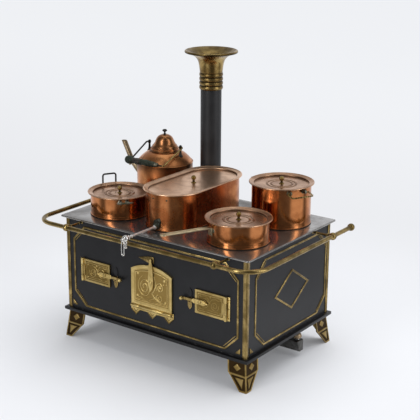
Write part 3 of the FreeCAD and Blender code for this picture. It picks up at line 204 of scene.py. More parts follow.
class Bench:
    """Node tree under construction."""

    def __init__(self, tree):
        self.tree = tree

    def node(self, kind, sockets=None, output=0, **settings):
        """Adds a node: its settings first, then the values or links of its sockets."""
        made = self.tree.nodes.new(kind)
        for key, value in settings.items():
            if key == "stops":
                stops = made.color_ramp.elements
                while len(stops) < len(value):
                    stops.new(1.0)
                for stop, (place, colour) in zip(stops, value):
                    stop.position = place
                    stop.color = colour
            else:
                setattr(made, key, value)
        for key, value in (sockets or {}).items():
            if isinstance(value, Wire):
                self.tree.links.new(value.socket, made.inputs[key])
            else:
                made.inputs[key].default_value = value
        return Wire(self, made.outputs[output]) if made.outputs else made

    def maths(self, operation, first, second, clamp=False):
        return self.node("ShaderNodeMath", {0: first, 1: second}, operation=operation, use_clamp=clamp)

    def step(self, value, low, high):
        """0 below low, 1 above high, smooth between."""
        return self.node("ShaderNodeMapRange", {"Value": value, "From Min": low, "From Max": high},
                         interpolation_type="SMOOTHSTEP")

    def blend(self, share, first, second):
        """Colour between two colours."""
        sockets = {0: share}
        for key, value in ((6, first), (7, second)):
            sockets[key] = value if isinstance(value, Wire) else tuple(value)[:3] + (1.0,)
        return self.node("ShaderNodeMix", sockets, 2, data_type="RGBA")

    def reach(self, place, way):
        """How far a place lies along a direction."""
        return self.node("ShaderNodeVectorMath", {0: place, 1: way}, "Value", operation="DOT_PRODUCT")

    def rays(self):
        """1 for rays that see a surface straight or by way of a mirror or glass, and 1 for mirror rays."""
        kinds = self.node("ShaderNodeLightPath").socket.node.outputs
        seen, mirror, glass = (Wire(self, kinds["Is %s Ray" % kind])
                               for kind in ("Camera", "Glossy", "Transmission"))
        return self.maths("MULTIPLY", seen + mirror + glass, 1.0, clamp=True), mirror


class Finish(Bench):
    """Material under construction, in Object coordinates."""

    def __init__(self, name):
        self.material = bpy.data.materials.new("aged_" + name)
        self.material.use_nodes = True
        super().__init__(self.material.node_tree)
        self.tree.nodes.clear()

    def place(self, stretch=(1, 1, 1)):
        """Object coordinates in millimetres, stretched along the axes."""
        coordinates = self.node("ShaderNodeTexCoord", output="Object")
        scale = tuple(factor / MM for factor in stretch)
        return self.node("ShaderNodeMapping", {"Vector": coordinates, "Scale": scale})

    def height(self):
        """Height above the floor in millimetres."""
        return self.node("ShaderNodeSeparateXYZ", {0: self.place()}, output=2)

    def noise(self, size, detail, rough, stretch=(1, 1, 1), distortion=0.0):
        """Noise from 0 to 1 whose blotches are about that many millimetres wide."""
        return self.node("ShaderNodeTexNoise", {
            "Vector": self.place(stretch), "Scale": 1.0 / size, "Detail": detail, "Roughness": rough,
            "Distortion": distortion})

    def cells(self, size):
        """Distance to the nearest of many scattered points, 0 at a point."""
        return self.node("ShaderNodeTexVoronoi", {"Vector": self.place(), "Scale": 1.0 / size})

    def stored(self, name):
        """Number that the piece's own mesh carries."""
        return self.node("ShaderNodeAttribute", output="Fac", attribute_name=name)

    def bump(self, height, depth):
        """Normal of a surface whose height varies by that many millimetres."""
        return self.node("ShaderNodeBump", {"Height": height, "Distance": depth * MM, "Strength": 1.0})

    def done(self, **sockets):
        """Sets the shader's sockets and returns the material."""
        named = {name.replace("_", " ").title().replace("Ior", "IOR"): value
                 for name, value in sockets.items()}
        shader = self.node("ShaderNodeBsdfPrincipled", named)
        self.node("ShaderNodeOutputMaterial", {"Surface": shader})
        return self.material


def shade(colour, factor):
    return tuple(channel * factor for channel in tuple(colour)[:3])


def tone(colour):
    """Colour as it is given, or one of the panel's colours by its name and a factor."""
    if isinstance(colour[0], str):
        return shade(getattr(colours(), colour[0]), colour[1])
    return colour


def metal(name, bright, dull, deep, spots, rough, tarnish, spun, spotted, dent, specks=0.30, haze=0.0):
    """Aged metal: rubbed bright and dull patches, painted shade in hollows, fine lines, spots and shallow
    dents.
    """
    make = Finish(name)
    bright = tone(bright)
    cloud = make.noise(16, 5, 0.55, distortion=0.4)
    patch = make.step(cloud, tarnish - 0.16, tarnish + 0.16)
    fine = make.noise(1.6, 4, 0.6)
    lines = make.noise(0.7, 2, 0.5, stretch=(0.06, 0.06, 1.0))
    scratch = make.step(make.noise(0.9, 1, 0.4, stretch=(0.12, 0.6, 0.5)), 0.66, 0.74)
    recess = make.stored("recess")
    colour = make.blend(patch, dull, bright)
    colour = make.blend(make.step(fine, 0.35, 0.75) * 0.28, colour, dull)
    colour = make.blend(scratch * 0.22, colour, bright)
    spot = make.step(make.noise(5.0, 6, 0.65), 0.66, 0.74)
    colour = make.blend(spot * spotted, colour, spots)
    # painted shade: darker towards the shade colour where the mesh carries painted shade, in hollows, creases
    # and along contact lines
    colour = make.blend(make.step(recess, 0.15, 0.85), colour, deep)
    dots = make.step(make.cells(3.2), 0.10, 0.04)
    colour = make.blend(dots * specks, colour, deep)
    roughness = rough + 0.09 * (1.0 - patch) + 0.09 * fine - 0.05 * scratch + 0.2 * recess
    relief = make.noise(11, 2, 0.4) * (1.0 - spun * 0.5)
    relief = relief + fine * 0.03 + lines * (0.05 * spun) - scratch * 0.015
    return make.done(base_color=colour, roughness=roughness, metallic=1.0 - haze,
                     normal=make.bump(relief, dent))


def lacquered(name, colour, gloss, worn, low, high):
    """Baked lacquer on tin: cloudy gloss, fine rubbing, and chips, most near the lower and upper edges."""
    make = Finish(name)
    colour = tone(colour)
    cloud = make.noise(28, 4, 0.6)
    fine = make.noise(1.1, 3, 0.6)
    rub = make.step(make.noise(1.3, 2, 0.5, stretch=(0.10, 0.10, 1.0)), 0.62, 0.75)
    height = make.height()
    edge = make.step(height, low + 5.0, low) + make.step(height, high - 4.0, high)
    chip = make.step(make.noise(2.6, 6, 0.7) + edge * 0.16, 0.76, 0.80)
    tint = make.blend(make.step(cloud, 0.35, 0.7) * 0.6, colour, shade(colour, 1.7))
    tint = make.blend(rub * 0.22, tint, shade(colour, 3.2))
    tint = make.blend(chip * 0.6, tint, worn)
    roughness = gloss + 0.14 * cloud + 0.08 * fine + 0.1 * rub
    relief = make.noise(36, 1, 0.4) + fine * 0.012 - chip * 0.05
    return make.done(base_color=tint, roughness=roughness, specular_ior_level=0.32,
                     normal=make.bump(relief, 0.14))


def turned_wood(name, dark, pale, rubbed):
    """Stained wood, rubbed paler in patches, with fine grain along the grip."""
    make = Finish(name)
    grain = make.noise(0.8, 4, 0.6, stretch=(0.06, 1.0, 1.0))
    rub = make.step(make.noise(7, 4, 0.6), 0.50, 0.72)
    colour = make.blend(make.step(grain, 0.35, 0.7), dark, pale)
    colour = make.blend(rub * 0.7, colour, rubbed)
    return make.done(base_color=colour, roughness=0.46 + 0.2 * grain, specular_ior_level=0.30,
                     normal=make.bump(grain, 0.10))


def cotton(name, clean, scorched, loose):
    """Scorched cotton wick."""
    make = Finish(name)
    scorch = make.step(make.noise(3, 4, 0.6), 0.42, 0.62)
    fibre = make.noise(0.4, 3, 0.6, stretch=(1.0, 1.0, 0.15))
    colour = make.blend(scorch, clean, scorched)
    colour = make.blend(make.step(fibre, 0.4, 0.7) * 0.4, colour, loose)
    return make.done(base_color=colour, roughness=0.85 + 0.1 * fibre, normal=make.bump(fibre, 0.15))


WORN_TIN = (0.17, 0.165, 0.155)
VERDIGRIS = (0.15, 0.17, 0.085)
LACQUERS = {
    "black_lacquer": dict(colour=("lacquer", 1.0), gloss=0.30, worn=WORN_TIN, low=BASE_TOP, high=BODY_TOP),
    "base_lacquer": dict(colour=("lacquer", 0.8), gloss=0.26, worn=WORN_TIN, low=FOOT_H - 4,
                         high=BASE_TOP + 3),
    "black_pipe": dict(colour=("pipe", 1.0), gloss=0.34, worn=(0.10, 0.095, 0.09), low=HOB,
                       high=CHIMNEY_HIGH[2]),
}
METALS = {
    "burnished_steel": dict(
        bright=("steel", 1.0), dull=(0.29, 0.275, 0.26), deep=(0.03, 0.026, 0.022),
        spots=(0.15, 0.128, 0.108), rough=0.11, tarnish=0.48, spun=0.6, spotted=0.5, dent=0.035,
        specks=0.40, haze=0.10),
    "brass": dict(
        bright=("brass", 1.0), dull=(0.185, 0.127, 0.043), deep=(0.04, 0.026, 0.009),
        spots=(0.10, 0.066, 0.022), rough=0.19, tarnish=0.53, spun=0.3, spotted=0.75, dent=0.10,
        specks=0.45),
    "stamped_brass": dict(
        bright=(0.80, 0.61, 0.25), dull=(0.57, 0.41, 0.145), deep=(0.37, 0.25, 0.078),
        spots=(0.33, 0.23, 0.08), rough=0.34, tarnish=0.46, spun=0.1, spotted=0.6, dent=0.05),
    "oven_brass": dict(
        bright=(0.60, 0.445, 0.178), dull=(0.40, 0.282, 0.095), deep=(0.24, 0.16, 0.047),
        spots=(0.21, 0.145, 0.048), rough=0.32, tarnish=0.48, spun=0.1, spotted=0.7, dent=0.05),
    "pale_brass": dict(
        bright=(0.66, 0.55, 0.36), dull=(0.45, 0.36, 0.21), deep=(0.14, 0.10, 0.045),
        spots=(0.26, 0.19, 0.09), rough=0.34, tarnish=0.46, spun=0.2, spotted=0.6, dent=0.08),
    "antique_brass": dict(
        bright=("brass", 0.80), dull=(0.24, 0.155, 0.045), deep=(0.045, 0.026, 0.010),
        spots=(0.16, 0.10, 0.03), rough=0.26, tarnish=0.50, spun=0.1, spotted=0.6, dent=0.08),
    "tan_brass": dict(
        bright=(0.42, 0.315, 0.20), dull=(0.27, 0.195, 0.115), deep=(0.06, 0.042, 0.022),
        spots=(0.17, 0.12, 0.065), rough=0.34, tarnish=0.48, spun=0.2, spotted=0.7, dent=0.10),
    "bell_gold": dict(
        bright=(0.50, 0.355, 0.132), dull=(0.20, 0.125, 0.040), deep=(0.035, 0.024, 0.010),
        spots=(0.11, 0.062, 0.018), rough=0.16, tarnish=0.52, spun=0.8, spotted=0.8, dent=0.10,
        specks=0.25),
    "copper": dict(
        bright=("copper", 1.0), dull=(0.45, 0.162, 0.055), deep=(0.045, 0.02, 0.009),
        spots=(0.22, 0.085, 0.028), rough=0.08, tarnish=0.47, spun=1.0, spotted=0.5, dent=0.05,
        specks=0.10),
    "kettle_copper": dict(
        bright=(0.68, 0.295, 0.115), dull=(0.47, 0.183, 0.067), deep=(0.045, 0.022, 0.010),
        spots=(0.18, 0.085, 0.030), rough=0.20, tarnish=0.50, spun=0.8, spotted=0.6, dent=0.07,
        specks=0.15),
    "kettle_dome": dict(
        bright=(0.50, 0.228, 0.097), dull=(0.31, 0.128, 0.050), deep=(0.04, 0.02, 0.010),
        spots=(0.14, 0.070, 0.028), rough=0.18, tarnish=0.52, spun=0.8, spotted=0.7, dent=0.08,
        specks=0.15),
    "boiler_copper": dict(
        bright=("copper", 0.86), dull=(0.37, 0.118, 0.037), deep=(0.045, 0.02, 0.009),
        spots=(0.15, 0.100, 0.033), rough=0.15, tarnish=0.52, spun=0.5, spotted=0.75, dent=0.07,
        specks=0.15),
    "lid_copper": dict(
        bright=("lid", 1.0), dull=(0.49, 0.286, 0.172), deep=(0.085, 0.044, 0.025),
        spots=(0.21, 0.115, 0.06), rough=0.21, tarnish=0.50, spun=0.8, spotted=0.6, dent=0.09, specks=0.18),
    "boiler_lid_copper": dict(
        bright=(0.93, 0.61, 0.395), dull=(0.69, 0.43, 0.268), deep=(0.10, 0.052, 0.03),
        spots=(0.30, 0.17, 0.09), rough=0.26, tarnish=0.46, spun=0.6, spotted=0.6, dent=0.09, specks=0.18),
    "boss_patina": dict(
        bright=(0.11, 0.115, 0.09), dull=(0.04, 0.043, 0.033), deep=(0.012, 0.012, 0.009), spots=VERDIGRIS,
        rough=0.34, tarnish=0.55, spun=0.0, spotted=0.7, dent=0.25),
    "tarnished_solder": dict(
        bright=(0.30, 0.29, 0.23), dull=(0.13, 0.12, 0.075), deep=(0.03, 0.028, 0.018), spots=VERDIGRIS,
        rough=0.40, tarnish=0.50, spun=0.0, spotted=0.8, dent=0.25),
    "black_iron": dict(
        bright=(0.075, 0.07, 0.062), dull=(0.030, 0.028, 0.025), deep=(0.012, 0.011, 0.01),
        spots=(0.09, 0.045, 0.02), rough=0.38, tarnish=0.55, spun=0.0, spotted=0.5, dent=0.10),
    "nickel": dict(
        bright=(0.84, 0.825, 0.79), dull=(0.58, 0.56, 0.52), deep=(0.07, 0.065, 0.055),
        spots=(0.30, 0.27, 0.21), rough=0.20, tarnish=0.40, spun=0.4, spotted=0.4, dent=0.06),
    "nickel_pipe": dict(
        bright=(0.93, 0.915, 0.885), dull=(0.74, 0.72, 0.68), deep=(0.09, 0.085, 0.075),
        spots=(0.36, 0.33, 0.27), rough=0.40, tarnish=0.40, spun=0.3, spotted=0.4, dent=0.06),
    "tinplate": dict(
        bright=("tin", 1.0), dull=(0.19, 0.185, 0.17), deep=(0.05, 0.048, 0.042), spots=(0.13, 0.08, 0.045),
        rough=0.36, tarnish=0.50, spun=0.2, spotted=0.5, dent=0.12),
    "tinned_inside": dict(
        bright=(0.52, 0.51, 0.48), dull=(0.30, 0.29, 0.265), deep=(0.10, 0.09, 0.08),
        spots=(0.20, 0.15, 0.10), rough=0.34, tarnish=0.48, spun=0.6, spotted=0.5, dent=0.10),
    # tin of the burner's tank, darker than the plain tinplate
    "smoked_tin": dict(
        bright=(0.17, 0.167, 0.158), dull=(0.075, 0.073, 0.068), deep=(0.02, 0.019, 0.017),
        spots=(0.10, 0.065, 0.04), rough=0.36, tarnish=0.52, spun=0.2, spotted=0.5, dent=0.14),
}
WOODS = {
    "dark_wood": dict(dark=(0.010, 0.014, 0.009), pale=(0.028, 0.036, 0.021), rubbed=(0.058, 0.060, 0.034)),
    "brown_wood": dict(dark=(0.016, 0.013, 0.011), pale=(0.046, 0.036, 0.031), rubbed=(0.11, 0.075, 0.052)),
}
COTTONS = {
    "wick_cotton": dict(clean=(0.52, 0.47, 0.37), scorched=(0.06, 0.05, 0.04), loose=(0.70, 0.66, 0.56)),
}


def finish(name):
    """Finish of that name, made once; its material's name keeps it apart from the frame's own."""
    made = bpy.data.materials.get("aged_" + name)
    if made:
        return made
    for build, table in ((metal, METALS), (lacquered, LACQUERS), (turned_wood, WOODS), (cotton, COTTONS)):
        if name in table:
            return build(name, **table[name])
    raise ValueError("no finish named " + name)


class Form:
    """Surface of one piece, gathered in millimetres about the middle of the body."""

    def __init__(self):
        self.points = []
        self.faces = []
        self.paints = []
        self.recess = []

    def add(self, points, faces, paint=0, recess=None):
        base = len(self.points)
        self.points += [tuple(point) for point in points]
        self.faces += [tuple(index + base for index in face) for face in faces]
        self.paints += list(paint) if isinstance(paint, (list, tuple)) else [paint] * len(faces)
        self.recess += list(recess) if recess is not None else [0.0] * len(points)

    def grid(self, rings, paint=0, around=True, along=False, recess=None):
        """Rings of points joined by quads: around closes each ring, along joins the last one to the first."""
        rings = np.asarray(rings, float)
        count, width = rings.shape[:2]
        faces = []
        paints = []
        for row in range(count if along else count - 1):
            below = (row + 1) % count
            for column in range(width if around else width - 1):
                right = (column + 1) % width
                faces.append((row * width + column, row * width + right, below * width + right,
                              below * width + column))
                paints.append(paint[row] if isinstance(paint, list) else paint)
        self.add(rings.reshape(-1, 3), faces, paints, recess)

    def mesh(self, name):
        points = np.array(self.points)
        points[:, 1] += MID_Y
        mesh = bpy.data.meshes.new(name)
        mesh.from_pydata((points * MM).tolist(), [], self.faces)
        mesh.polygons.foreach_set("material_index", self.paints)
        # each point carries its painted shade, which the metal finishes read to darken hollows and creases
        mesh.attributes.new("recess", "FLOAT", "POINT").data.foreach_set("value", self.recess)
        work = bmesh.new()
        work.from_mesh(mesh)
        bmesh.ops.remove_doubles(work, verts=work.verts, dist=2e-6)
        bmesh.ops.dissolve_degenerate(work, edges=work.edges, dist=1e-7)
        bmesh.ops.recalc_face_normals(work, faces=work.faces)
        work.to_mesh(mesh)
        work.free()
        return mesh


def add_piece(name, mesh, paints, body, nodes=(), sharp=38):
    """Object from a mesh, with its finishes, riding on a body in place of CAD nodes."""
    for paint in paints:
        mesh.materials.append(finish(paint))
    mesh.shade_smooth()
    mesh.set_sharp_from_angle(angle=math.radians(sharp))
    piece = bpy.data.objects.new(name, mesh)
    bpy.context.scene.collection.objects.link(piece)
    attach(piece, body)
    if nodes:
        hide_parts(*nodes)


def add_form(name, form, paints, body, nodes, sharp=38):
    add_piece(name, form.mesh(name), paints, body, nodes, sharp)


def rounded_mesh(node, width, segments=2):
    """Copy of a CAD node's mesh with its sharp edges rounded by that many millimetres."""
    work = bmesh.new()
    work.from_mesh(frame["nodes"][node].data)
    bmesh.ops.remove_doubles(work, verts=work.verts, dist=2e-6)
    bmesh.ops.dissolve_limit(work, angle_limit=math.radians(1), verts=work.verts, edges=work.edges)
    edges = [edge for edge in work.edges
             if len(edge.link_faces) == 2 and edge.calc_face_angle(0) > math.radians(30)]
    bmesh.ops.bevel(work, geom=edges, offset=width * MM, offset_type="OFFSET", segments=segments, profile=0.5,
                    affect="EDGES", clamp_overlap=True)
    mesh = bpy.data.meshes.new(node)
    work.to_mesh(mesh)
    work.free()
    return mesh


def body_of(node):
    return next(body for body, nodes in frame["record"]["behaviour"]["bodies"].items() if node in nodes)


def round_edges(name, node, paint, width, segments=2):
    """Piece in place of one CAD node: the same shape with rounded edges."""
    add_piece(name, rounded_mesh(node, width, segments), [paint], body_of(node), [node])


def soften(points, radius, closed=False):
    """Line with its corners rounded off."""
    points = [np.array(point, float) for point in points]
    count = len(points)
    line = []
    for index, corner in enumerate(points):
        if not closed and index in (0, count - 1):
            line.append(corner)
            continue
        back = points[index - 1] - corner
        ahead = points[(index + 1) % count] - corner
        reach = min(radius, np.linalg.norm(back) / 2.2, np.linalg.norm(ahead) / 2.2)
        start = corner + back / np.linalg.norm(back) * reach
        end = corner + ahead / np.linalg.norm(ahead) * reach
        for share in np.linspace(0, 1, 4):
            line.append((1 - share) ** 2 * start + 2 * share * (1 - share) * corner + share ** 2 * end)
    return line


def arc(middle, radius, start, end, steps):
    """Points of an arc in a profile, angles in degrees."""
    turns = np.radians(np.linspace(start, end, steps + 1))
    return [(middle[0] + radius * math.cos(turn), middle[1] + radius * math.sin(turn)) for turn in turns]


def bent(points, bend, steps=8):
    """Line along straight runs with each corner bent to one radius."""
    corners = [np.array(point, float) for point in points]
    line = [corners[0]]
    for before, corner, after in zip(corners, corners[1:], corners[2:]):
        back = (before - corner) / np.linalg.norm(before - corner)
        ahead = (after - corner) / np.linalg.norm(after - corner)
        half = (math.pi - math.acos(np.clip(back @ ahead, -1, 1))) / 2
        inward = (back + ahead) / np.linalg.norm(back + ahead)
        middle = corner + inward * bend / math.cos(half)
        side = (back - ahead) / np.linalg.norm(back - ahead)
        for step in range(steps + 1):
            turn = half * (1 - 2 * step / steps)
            line.append(middle + bend * (side * math.sin(turn) - inward * math.cos(turn)))
    return np.array(line + [corners[-1]])


def axes(way):
    """Two directions square to a direction, and the direction itself."""
    way = np.array(way, float) / np.linalg.norm(way)
    hint = np.array((0, 0, 1.0)) if abs(way[2]) < 0.9 else np.array((1.0, 0, 0))
    across = np.cross(hint, way)
    across /= np.linalg.norm(across)
    return across, np.cross(way, across), way


def turn_form(form, profile, origin, way=(0, 0, 1), *, segments, half=0.0, paint=0, closed=False,
              recess=None):
    """Turns an (r, z) profile about an axis; half draws it out to an oval along Y."""
    across, up, along = axes(way)
    origin = np.array(origin, float)
    if half:
        sweep = np.linspace(0, math.pi, segments // 2 + 1)
        columns = [(turn, half) for turn in sweep] + [(turn + math.pi, -half) for turn in sweep]
        across, up = np.array((1.0, 0, 0)), np.array((0, 1.0, 0))
    else:
        columns = [(2 * math.pi * index / segments, 0.0) for index in range(segments)]
    rings = []
    for radius, height in profile:
        ring = [origin + across * (radius * math.cos(turn)) + up * (radius * math.sin(turn) + shift)
                + along * height for turn, shift in columns]
        rings.append(ring)
    depth = None if recess is None else np.repeat(recess, len(columns))
    form.grid(rings, paint, around=True, along=closed, recess=depth)


def sweep_form(form, line, section, cap, paint=0):
    """Carries a closed section along an open line; cap is the radius of its round ends."""
    line = np.asarray(line, float)
    runs = np.diff(line, axis=0)
    runs /= np.linalg.norm(runs, axis=1)[:, None]
    tangents = np.concatenate([runs, runs[-1:]]) + np.concatenate([runs[:1], runs])
    tangents /= np.linalg.norm(tangents, axis=1)[:, None]
    across = axes(tangents[0])[0]
    section = np.asarray(section, float)
    rings = []
    for point, tangent in zip(line, tangents):
        across = across - tangent * (across @ tangent)
        across /= np.linalg.norm(across)
        up = np.cross(tangent, across)
        rings.append(point + (section[:, :1] * across + section[:, 1:] * up))
    first, last = rings[0], rings[-1]
    for turn in np.radians((30, 60, 90)):
        share = math.cos(turn)
        push = cap * math.sin(turn)
        rings.append(line[-1] + (last - line[-1]) * share + tangents[-1] * push)
        rings.insert(0, line[0] + (first - line[0]) * share - tangents[0] * push)
    form.grid(rings, paint)


def circle(radius, sides=14):
    """Section of a round rod."""
    turns = [2 * math.pi * index / sides for index in range(sides)]
    return [(radius * math.cos(turn), radius * math.sin(turn)) for turn in turns]


def on_front(u, v, h):
    """Point on the front wall, from places across and up and a height off the wall."""
    return (u, FRONT - h, v)


def on_side(sign):
    """The same for a side wall."""
    return lambda u, v, h: (sign * (SIDE + h), u, v)


STRIP_SUNK = 0.4
STRIP_SECTION = ((-1, 0.45), (-0.72, 0.9), (-0.35, 1), (0, 0.86), (0.35, 1), (0.72, 0.9), (1, 0.45))


def strip_form(form, outline, width, height, to_space, paint=0, closed=True):
    """Raised strip with a shallow groove and mitred corners, along an outline on a wall."""
    points = [np.array(point, float) for point in outline]
    count = len(points)
    half = width / 2
    section = [(half * across, height * rise) for across, rise in STRIP_SECTION]
    section = [(-half, -STRIP_SUNK)] + section + [(half, -STRIP_SUNK)]
    rings = []
    for index, point in enumerate(points):
        before = points[index - 1] if closed or index else None
        after = points[(index + 1) % count] if closed or index < count - 1 else None
        normals = []
        for start, end in ((before, point), (point, after)):
            if start is not None and end is not None:
                run = (end - start) / np.linalg.norm(end - start)
                normals.append(np.array((-run[1], run[0])))
        mitre = sum(normals) / len(normals)
        mitre = mitre / (mitre @ normals[0])
        rings.append([to_space(*(point + mitre * across), rise) for across, rise in section])
    if not closed:
        ends = [[np.mean(ring, axis=0)] * len(section) for ring in (rings[0], rings[-1])]
        rings = [ends[0]] + rings + [ends[1]]
    form.grid(rings, paint, around=True, along=closed)


def plate_form(form, outline, low, high, to_space, inset=0.4):
    """Flat plate on a wall with a chamfered face, for outlines without hollows."""
    points = np.array(outline, float)
    centre = points.mean(axis=0)
    size = np.linalg.norm(points - centre, axis=1).max()
    inner = centre + (points - centre) * (1 - inset / size)
    layers = ((points, low), (points, high - inset), (inner, high), ([centre] * len(points), high))
    form.grid([[to_space(*point, height) for point in layer] for layer, height in layers])


def blade_form(form, outline, hole, low, high, to_space, paint=0):
    """Flat blade with a chamfered face and a round hole for its pivot, which is at the outline's (0, 0)."""
    inset = 0.4
    points = np.concatenate([np.linspace(start, end, max(2, round(math.dist(start, end)) + 1))[:-1]
                             for start, end in zip(outline, outline[1:] + outline[:1])])
    ring = points / np.linalg.norm(points, axis=1, keepdims=True) * hole
    inner = points * (1 - inset / np.abs(points).max(axis=0))
    layers = ((ring, low), (points, low), (points, high - inset), (inner, high), (ring, high))
    rings = [[to_space(*point, height) for point in layer] for layer, height in layers]
    form.grid(rings, paint, along=True)


def ridge(u, v, line, width):
    """1 on a line through points, falling smoothly to 0 at that width."""
    line = np.asarray(line, float)
    best = np.full(u.shape, 1e9)
    for (ax, ay), (bx, by) in zip(line, line[1:]):
        run = (bx - ax) ** 2 + (by - ay) ** 2 + 1e-9
        share = np.clip(((u - ax) * (bx - ax) + (v - ay) * (by - ay)) / run, 0, 1)
        best = np.minimum(best, np.hypot(u - ax - share * (bx - ax), v - ay - share * (by - ay)))
    rise = np.clip(1 - best / width, 0, 1)
    return rise * rise * (3 - 2 * rise)


def knob_mask(u, v, x, z, radius):
    """1 in the middle of a round stud, falling to 0 at its edge."""
    rise = np.clip(1 - np.hypot(u - x, v - z) / radius, 0, 1)
    return np.sqrt(rise * (2 - rise))


def band(distance, low, high):
    """0 below low and 1 above high, smooth between."""
    share = np.clip((distance - low) / (high - low), 0, 1)
    return share * share * (3 - 2 * share)


def volute(x, z, wide, tall, start, turns, steps=70):
    """Scroll that winds in from its outer end, angles in turns."""
    line = []
    for index in range(steps + 1):
        share = index / steps
        shrink = 1 - 0.82 * share
        turn = 2 * math.pi * (start + turns * share)
        line.append((x + wide * shrink * math.cos(turn), z + tall * shrink * math.sin(turn)))
    return line


def stamped_form(form, low, high, bottom, top_of, cells, height_of, face_y, back_y):
    """Stamped sheet on the front: a grid of heights below its face, closed at its edges and back."""
    columns = np.linspace(low, high, cells[0] + 1)
    shares = np.linspace(0, 1, cells[1] + 1)
    u = np.repeat(columns[None, :], len(shares), 0)
    v = bottom + shares[:, None] * (top_of(columns)[None, :] - bottom)
    depth = height_of(u, v)
    front = np.stack([u, face_y + depth, v], -1)
    back = np.stack([u, np.full_like(u, back_y), v], -1)
    # painted shade: the sunk ground is darker the farther it is sunk
    recess = np.clip(depth / max(depth.max(), 1e-6), 0, 1)
    form.grid(front, around=False, recess=recess.ravel())
    edges = (np.s_[0], np.s_[:, -1], np.s_[-1, ::-1], np.s_[::-1, 0])
    rim_front = np.concatenate([front[edge][:-1] for edge in edges])
    rim_back = np.concatenate([back[edge][:-1] for edge in edges])
    form.grid([rim_front, rim_back])
    form.add(rim_back, [tuple(range(len(rim_back)))])


def node_mesh(name, base, build, paint, **numbers):
    """Plain mesh of one finish from a node tree that is built in place on a base mesh."""
    tree = bpy.data.node_groups.new(name, "GeometryNodeTree")
    tree.interface.new_socket("Geometry", in_out="INPUT", socket_type="NodeSocketGeometry")
    values = {label: ("NodeSocketFloat", number) for label, number in numbers.items()}
    values["Finish"] = ("NodeSocketMaterial", finish(paint))
    identifiers = {}
    for label, (kind, _) in values.items():
        identifiers[label] = tree.interface.new_socket(label, in_out="INPUT", socket_type=kind).identifier
    tree.interface.new_socket("Geometry", in_out="OUTPUT", socket_type="NodeSocketGeometry")
    bench = Bench(tree)
    source = tree.nodes.new("NodeGroupInput")
    given = {socket.name: Wire(bench, socket) for socket in source.outputs if socket.name}
    plain = bench.node("GeometryNodeRealizeInstances", {"Geometry": build(bench, given)})
    painted = bench.node("GeometryNodeSetMaterial", {"Geometry": plain, "Material": given["Finish"]})
    bench.node("NodeGroupOutput", {0: painted})
    holder = bpy.data.objects.new(name, base)
    bpy.context.scene.collection.objects.link(holder)
    modifier = holder.modifiers.new(name, "NODES")
    modifier.node_group = tree
    for label, (_, value) in values.items():
        modifier[identifiers[label]] = value
    depsgraph = bpy.context.evaluated_depsgraph_get()
    mesh = bpy.data.meshes.new_from_object(holder.evaluated_get(depsgraph), depsgraph=depsgraph)
    holder.modifiers.clear()
    bpy.data.objects.remove(holder)
    bpy.data.meshes.remove(base)
    mesh.name = name
    return mesh


def base_points(name, points, ways=None):
    """Mesh of loose points in the frame, each with the direction it faces."""
    placed = np.array(points, float)
    placed[:, 1] += MID_Y
    base = bpy.data.meshes.new(name + "_points")
    base.from_pydata((placed * MM).tolist(), [], [])
    if ways is not None:
        flat = np.array(ways, float).ravel()
        base.attributes.new("way", "FLOAT_VECTOR", "POINT").data.foreach_set("vector", flat)
    return base


def rivet_tree(bench, given):
    """Domed head on every point, facing its way."""
    shape = {"Segments": 14, "Rings": 8, "Radius": given["Radius"]}
    ball = bench.node("GeometryNodeMeshUVSphere", shape)
    flat = bench.node("GeometryNodeTransform", {"Geometry": ball, "Scale": (1.0, 1.0, 0.55)})
    way = bench.node("GeometryNodeInputNamedAttribute", {"Name": "way"}, data_type="FLOAT_VECTOR")
    turn = bench.node("FunctionNodeAlignEulerToVector", {"Vector": way}, axis="Z")
    return bench.node("GeometryNodeInstanceOnPoints",
                      {"Points": given["Geometry"], "Instance": flat, "Rotation": turn})


def fibre_tree(bench, given):
    """Short leaning fibres scattered over a disc at every point."""
    shape = {"Vertices": 24, "Radius": given["Radius"]}
    disc = bench.node("GeometryNodeMeshCircle", shape, fill_type="NGON")
    discs = bench.node("GeometryNodeInstanceOnPoints", {"Points": given["Geometry"], "Instance": disc})
    area = bench.node("GeometryNodeRealizeInstances", {"Geometry": discs})
    roots = bench.node("GeometryNodeDistributePointsOnFaces",
                       {"Mesh": area, "Density": given["Density"], "Seed": 7})
    taper = {"Vertices": 5, "Radius Top": 0.12 * MM, "Radius Bottom": 0.35 * MM, "Depth": given["Length"]}
    hair = bench.node("GeometryNodeMeshCone", taper)
    lean = bench.node("FunctionNodeRandomValue", {0: (-0.5, -0.5, 0.0), 1: (0.5, 0.5, 6.2), "Seed": 11},
                      data_type="FLOAT_VECTOR")
    return bench.node("GeometryNodeInstanceOnPoints",
                      {"Points": roots, "Instance": hair, "Rotation": lean})


def twist_tree(bench, given):
    """Two strands twisted together along the edges of the base."""
    path = bench.node("GeometryNodeMeshToCurve", {"Mesh": given["Geometry"]})
    even = bench.node("GeometryNodeResampleCurve", {"Curve": path, "Length": 0.5 * MM}, mode="LENGTH")
    index = bench.node("GeometryNodeInputIndex")
    turned = bench.node("GeometryNodeSetCurveTilt", {"Curve": even, "Tilt": index * given["Twist"]})
    shape = {"Resolution": 9, "Radius": given["Radius"]}
    strand = bench.node("GeometryNodeCurvePrimitiveCircle", shape)
    pair = bench.node("GeometryNodeJoinGeometry")
    for side in (-1, 1):
        shift = bench.node("ShaderNodeCombineXYZ", {"X": given["Radius"] * (0.86 * side)})
        moved = bench.node("GeometryNodeTransform", {"Geometry": strand, "Translation": shift})
        bench.tree.links.new(moved.socket, pair.socket.node.inputs[0])
    rope = bench.node("GeometryNodeCurveToMesh",
                      {"Curve": turned, "Profile Curve": pair, "Fill Caps": True})
    return bench.node("GeometryNodeSetShadeSmooth", {"Geometry": rope})


def add_rivets(name, places, paint, body, grow=1.0):
    """Rivet heads at (point, way) places."""
    base = base_points(name, [place for place, _ in places], [way for _, way in places])
    mesh = node_mesh(name, base, rivet_tree, paint, Radius=sizes().rivet * grow)
    add_piece(name, mesh, [], body, (), sharp=60)


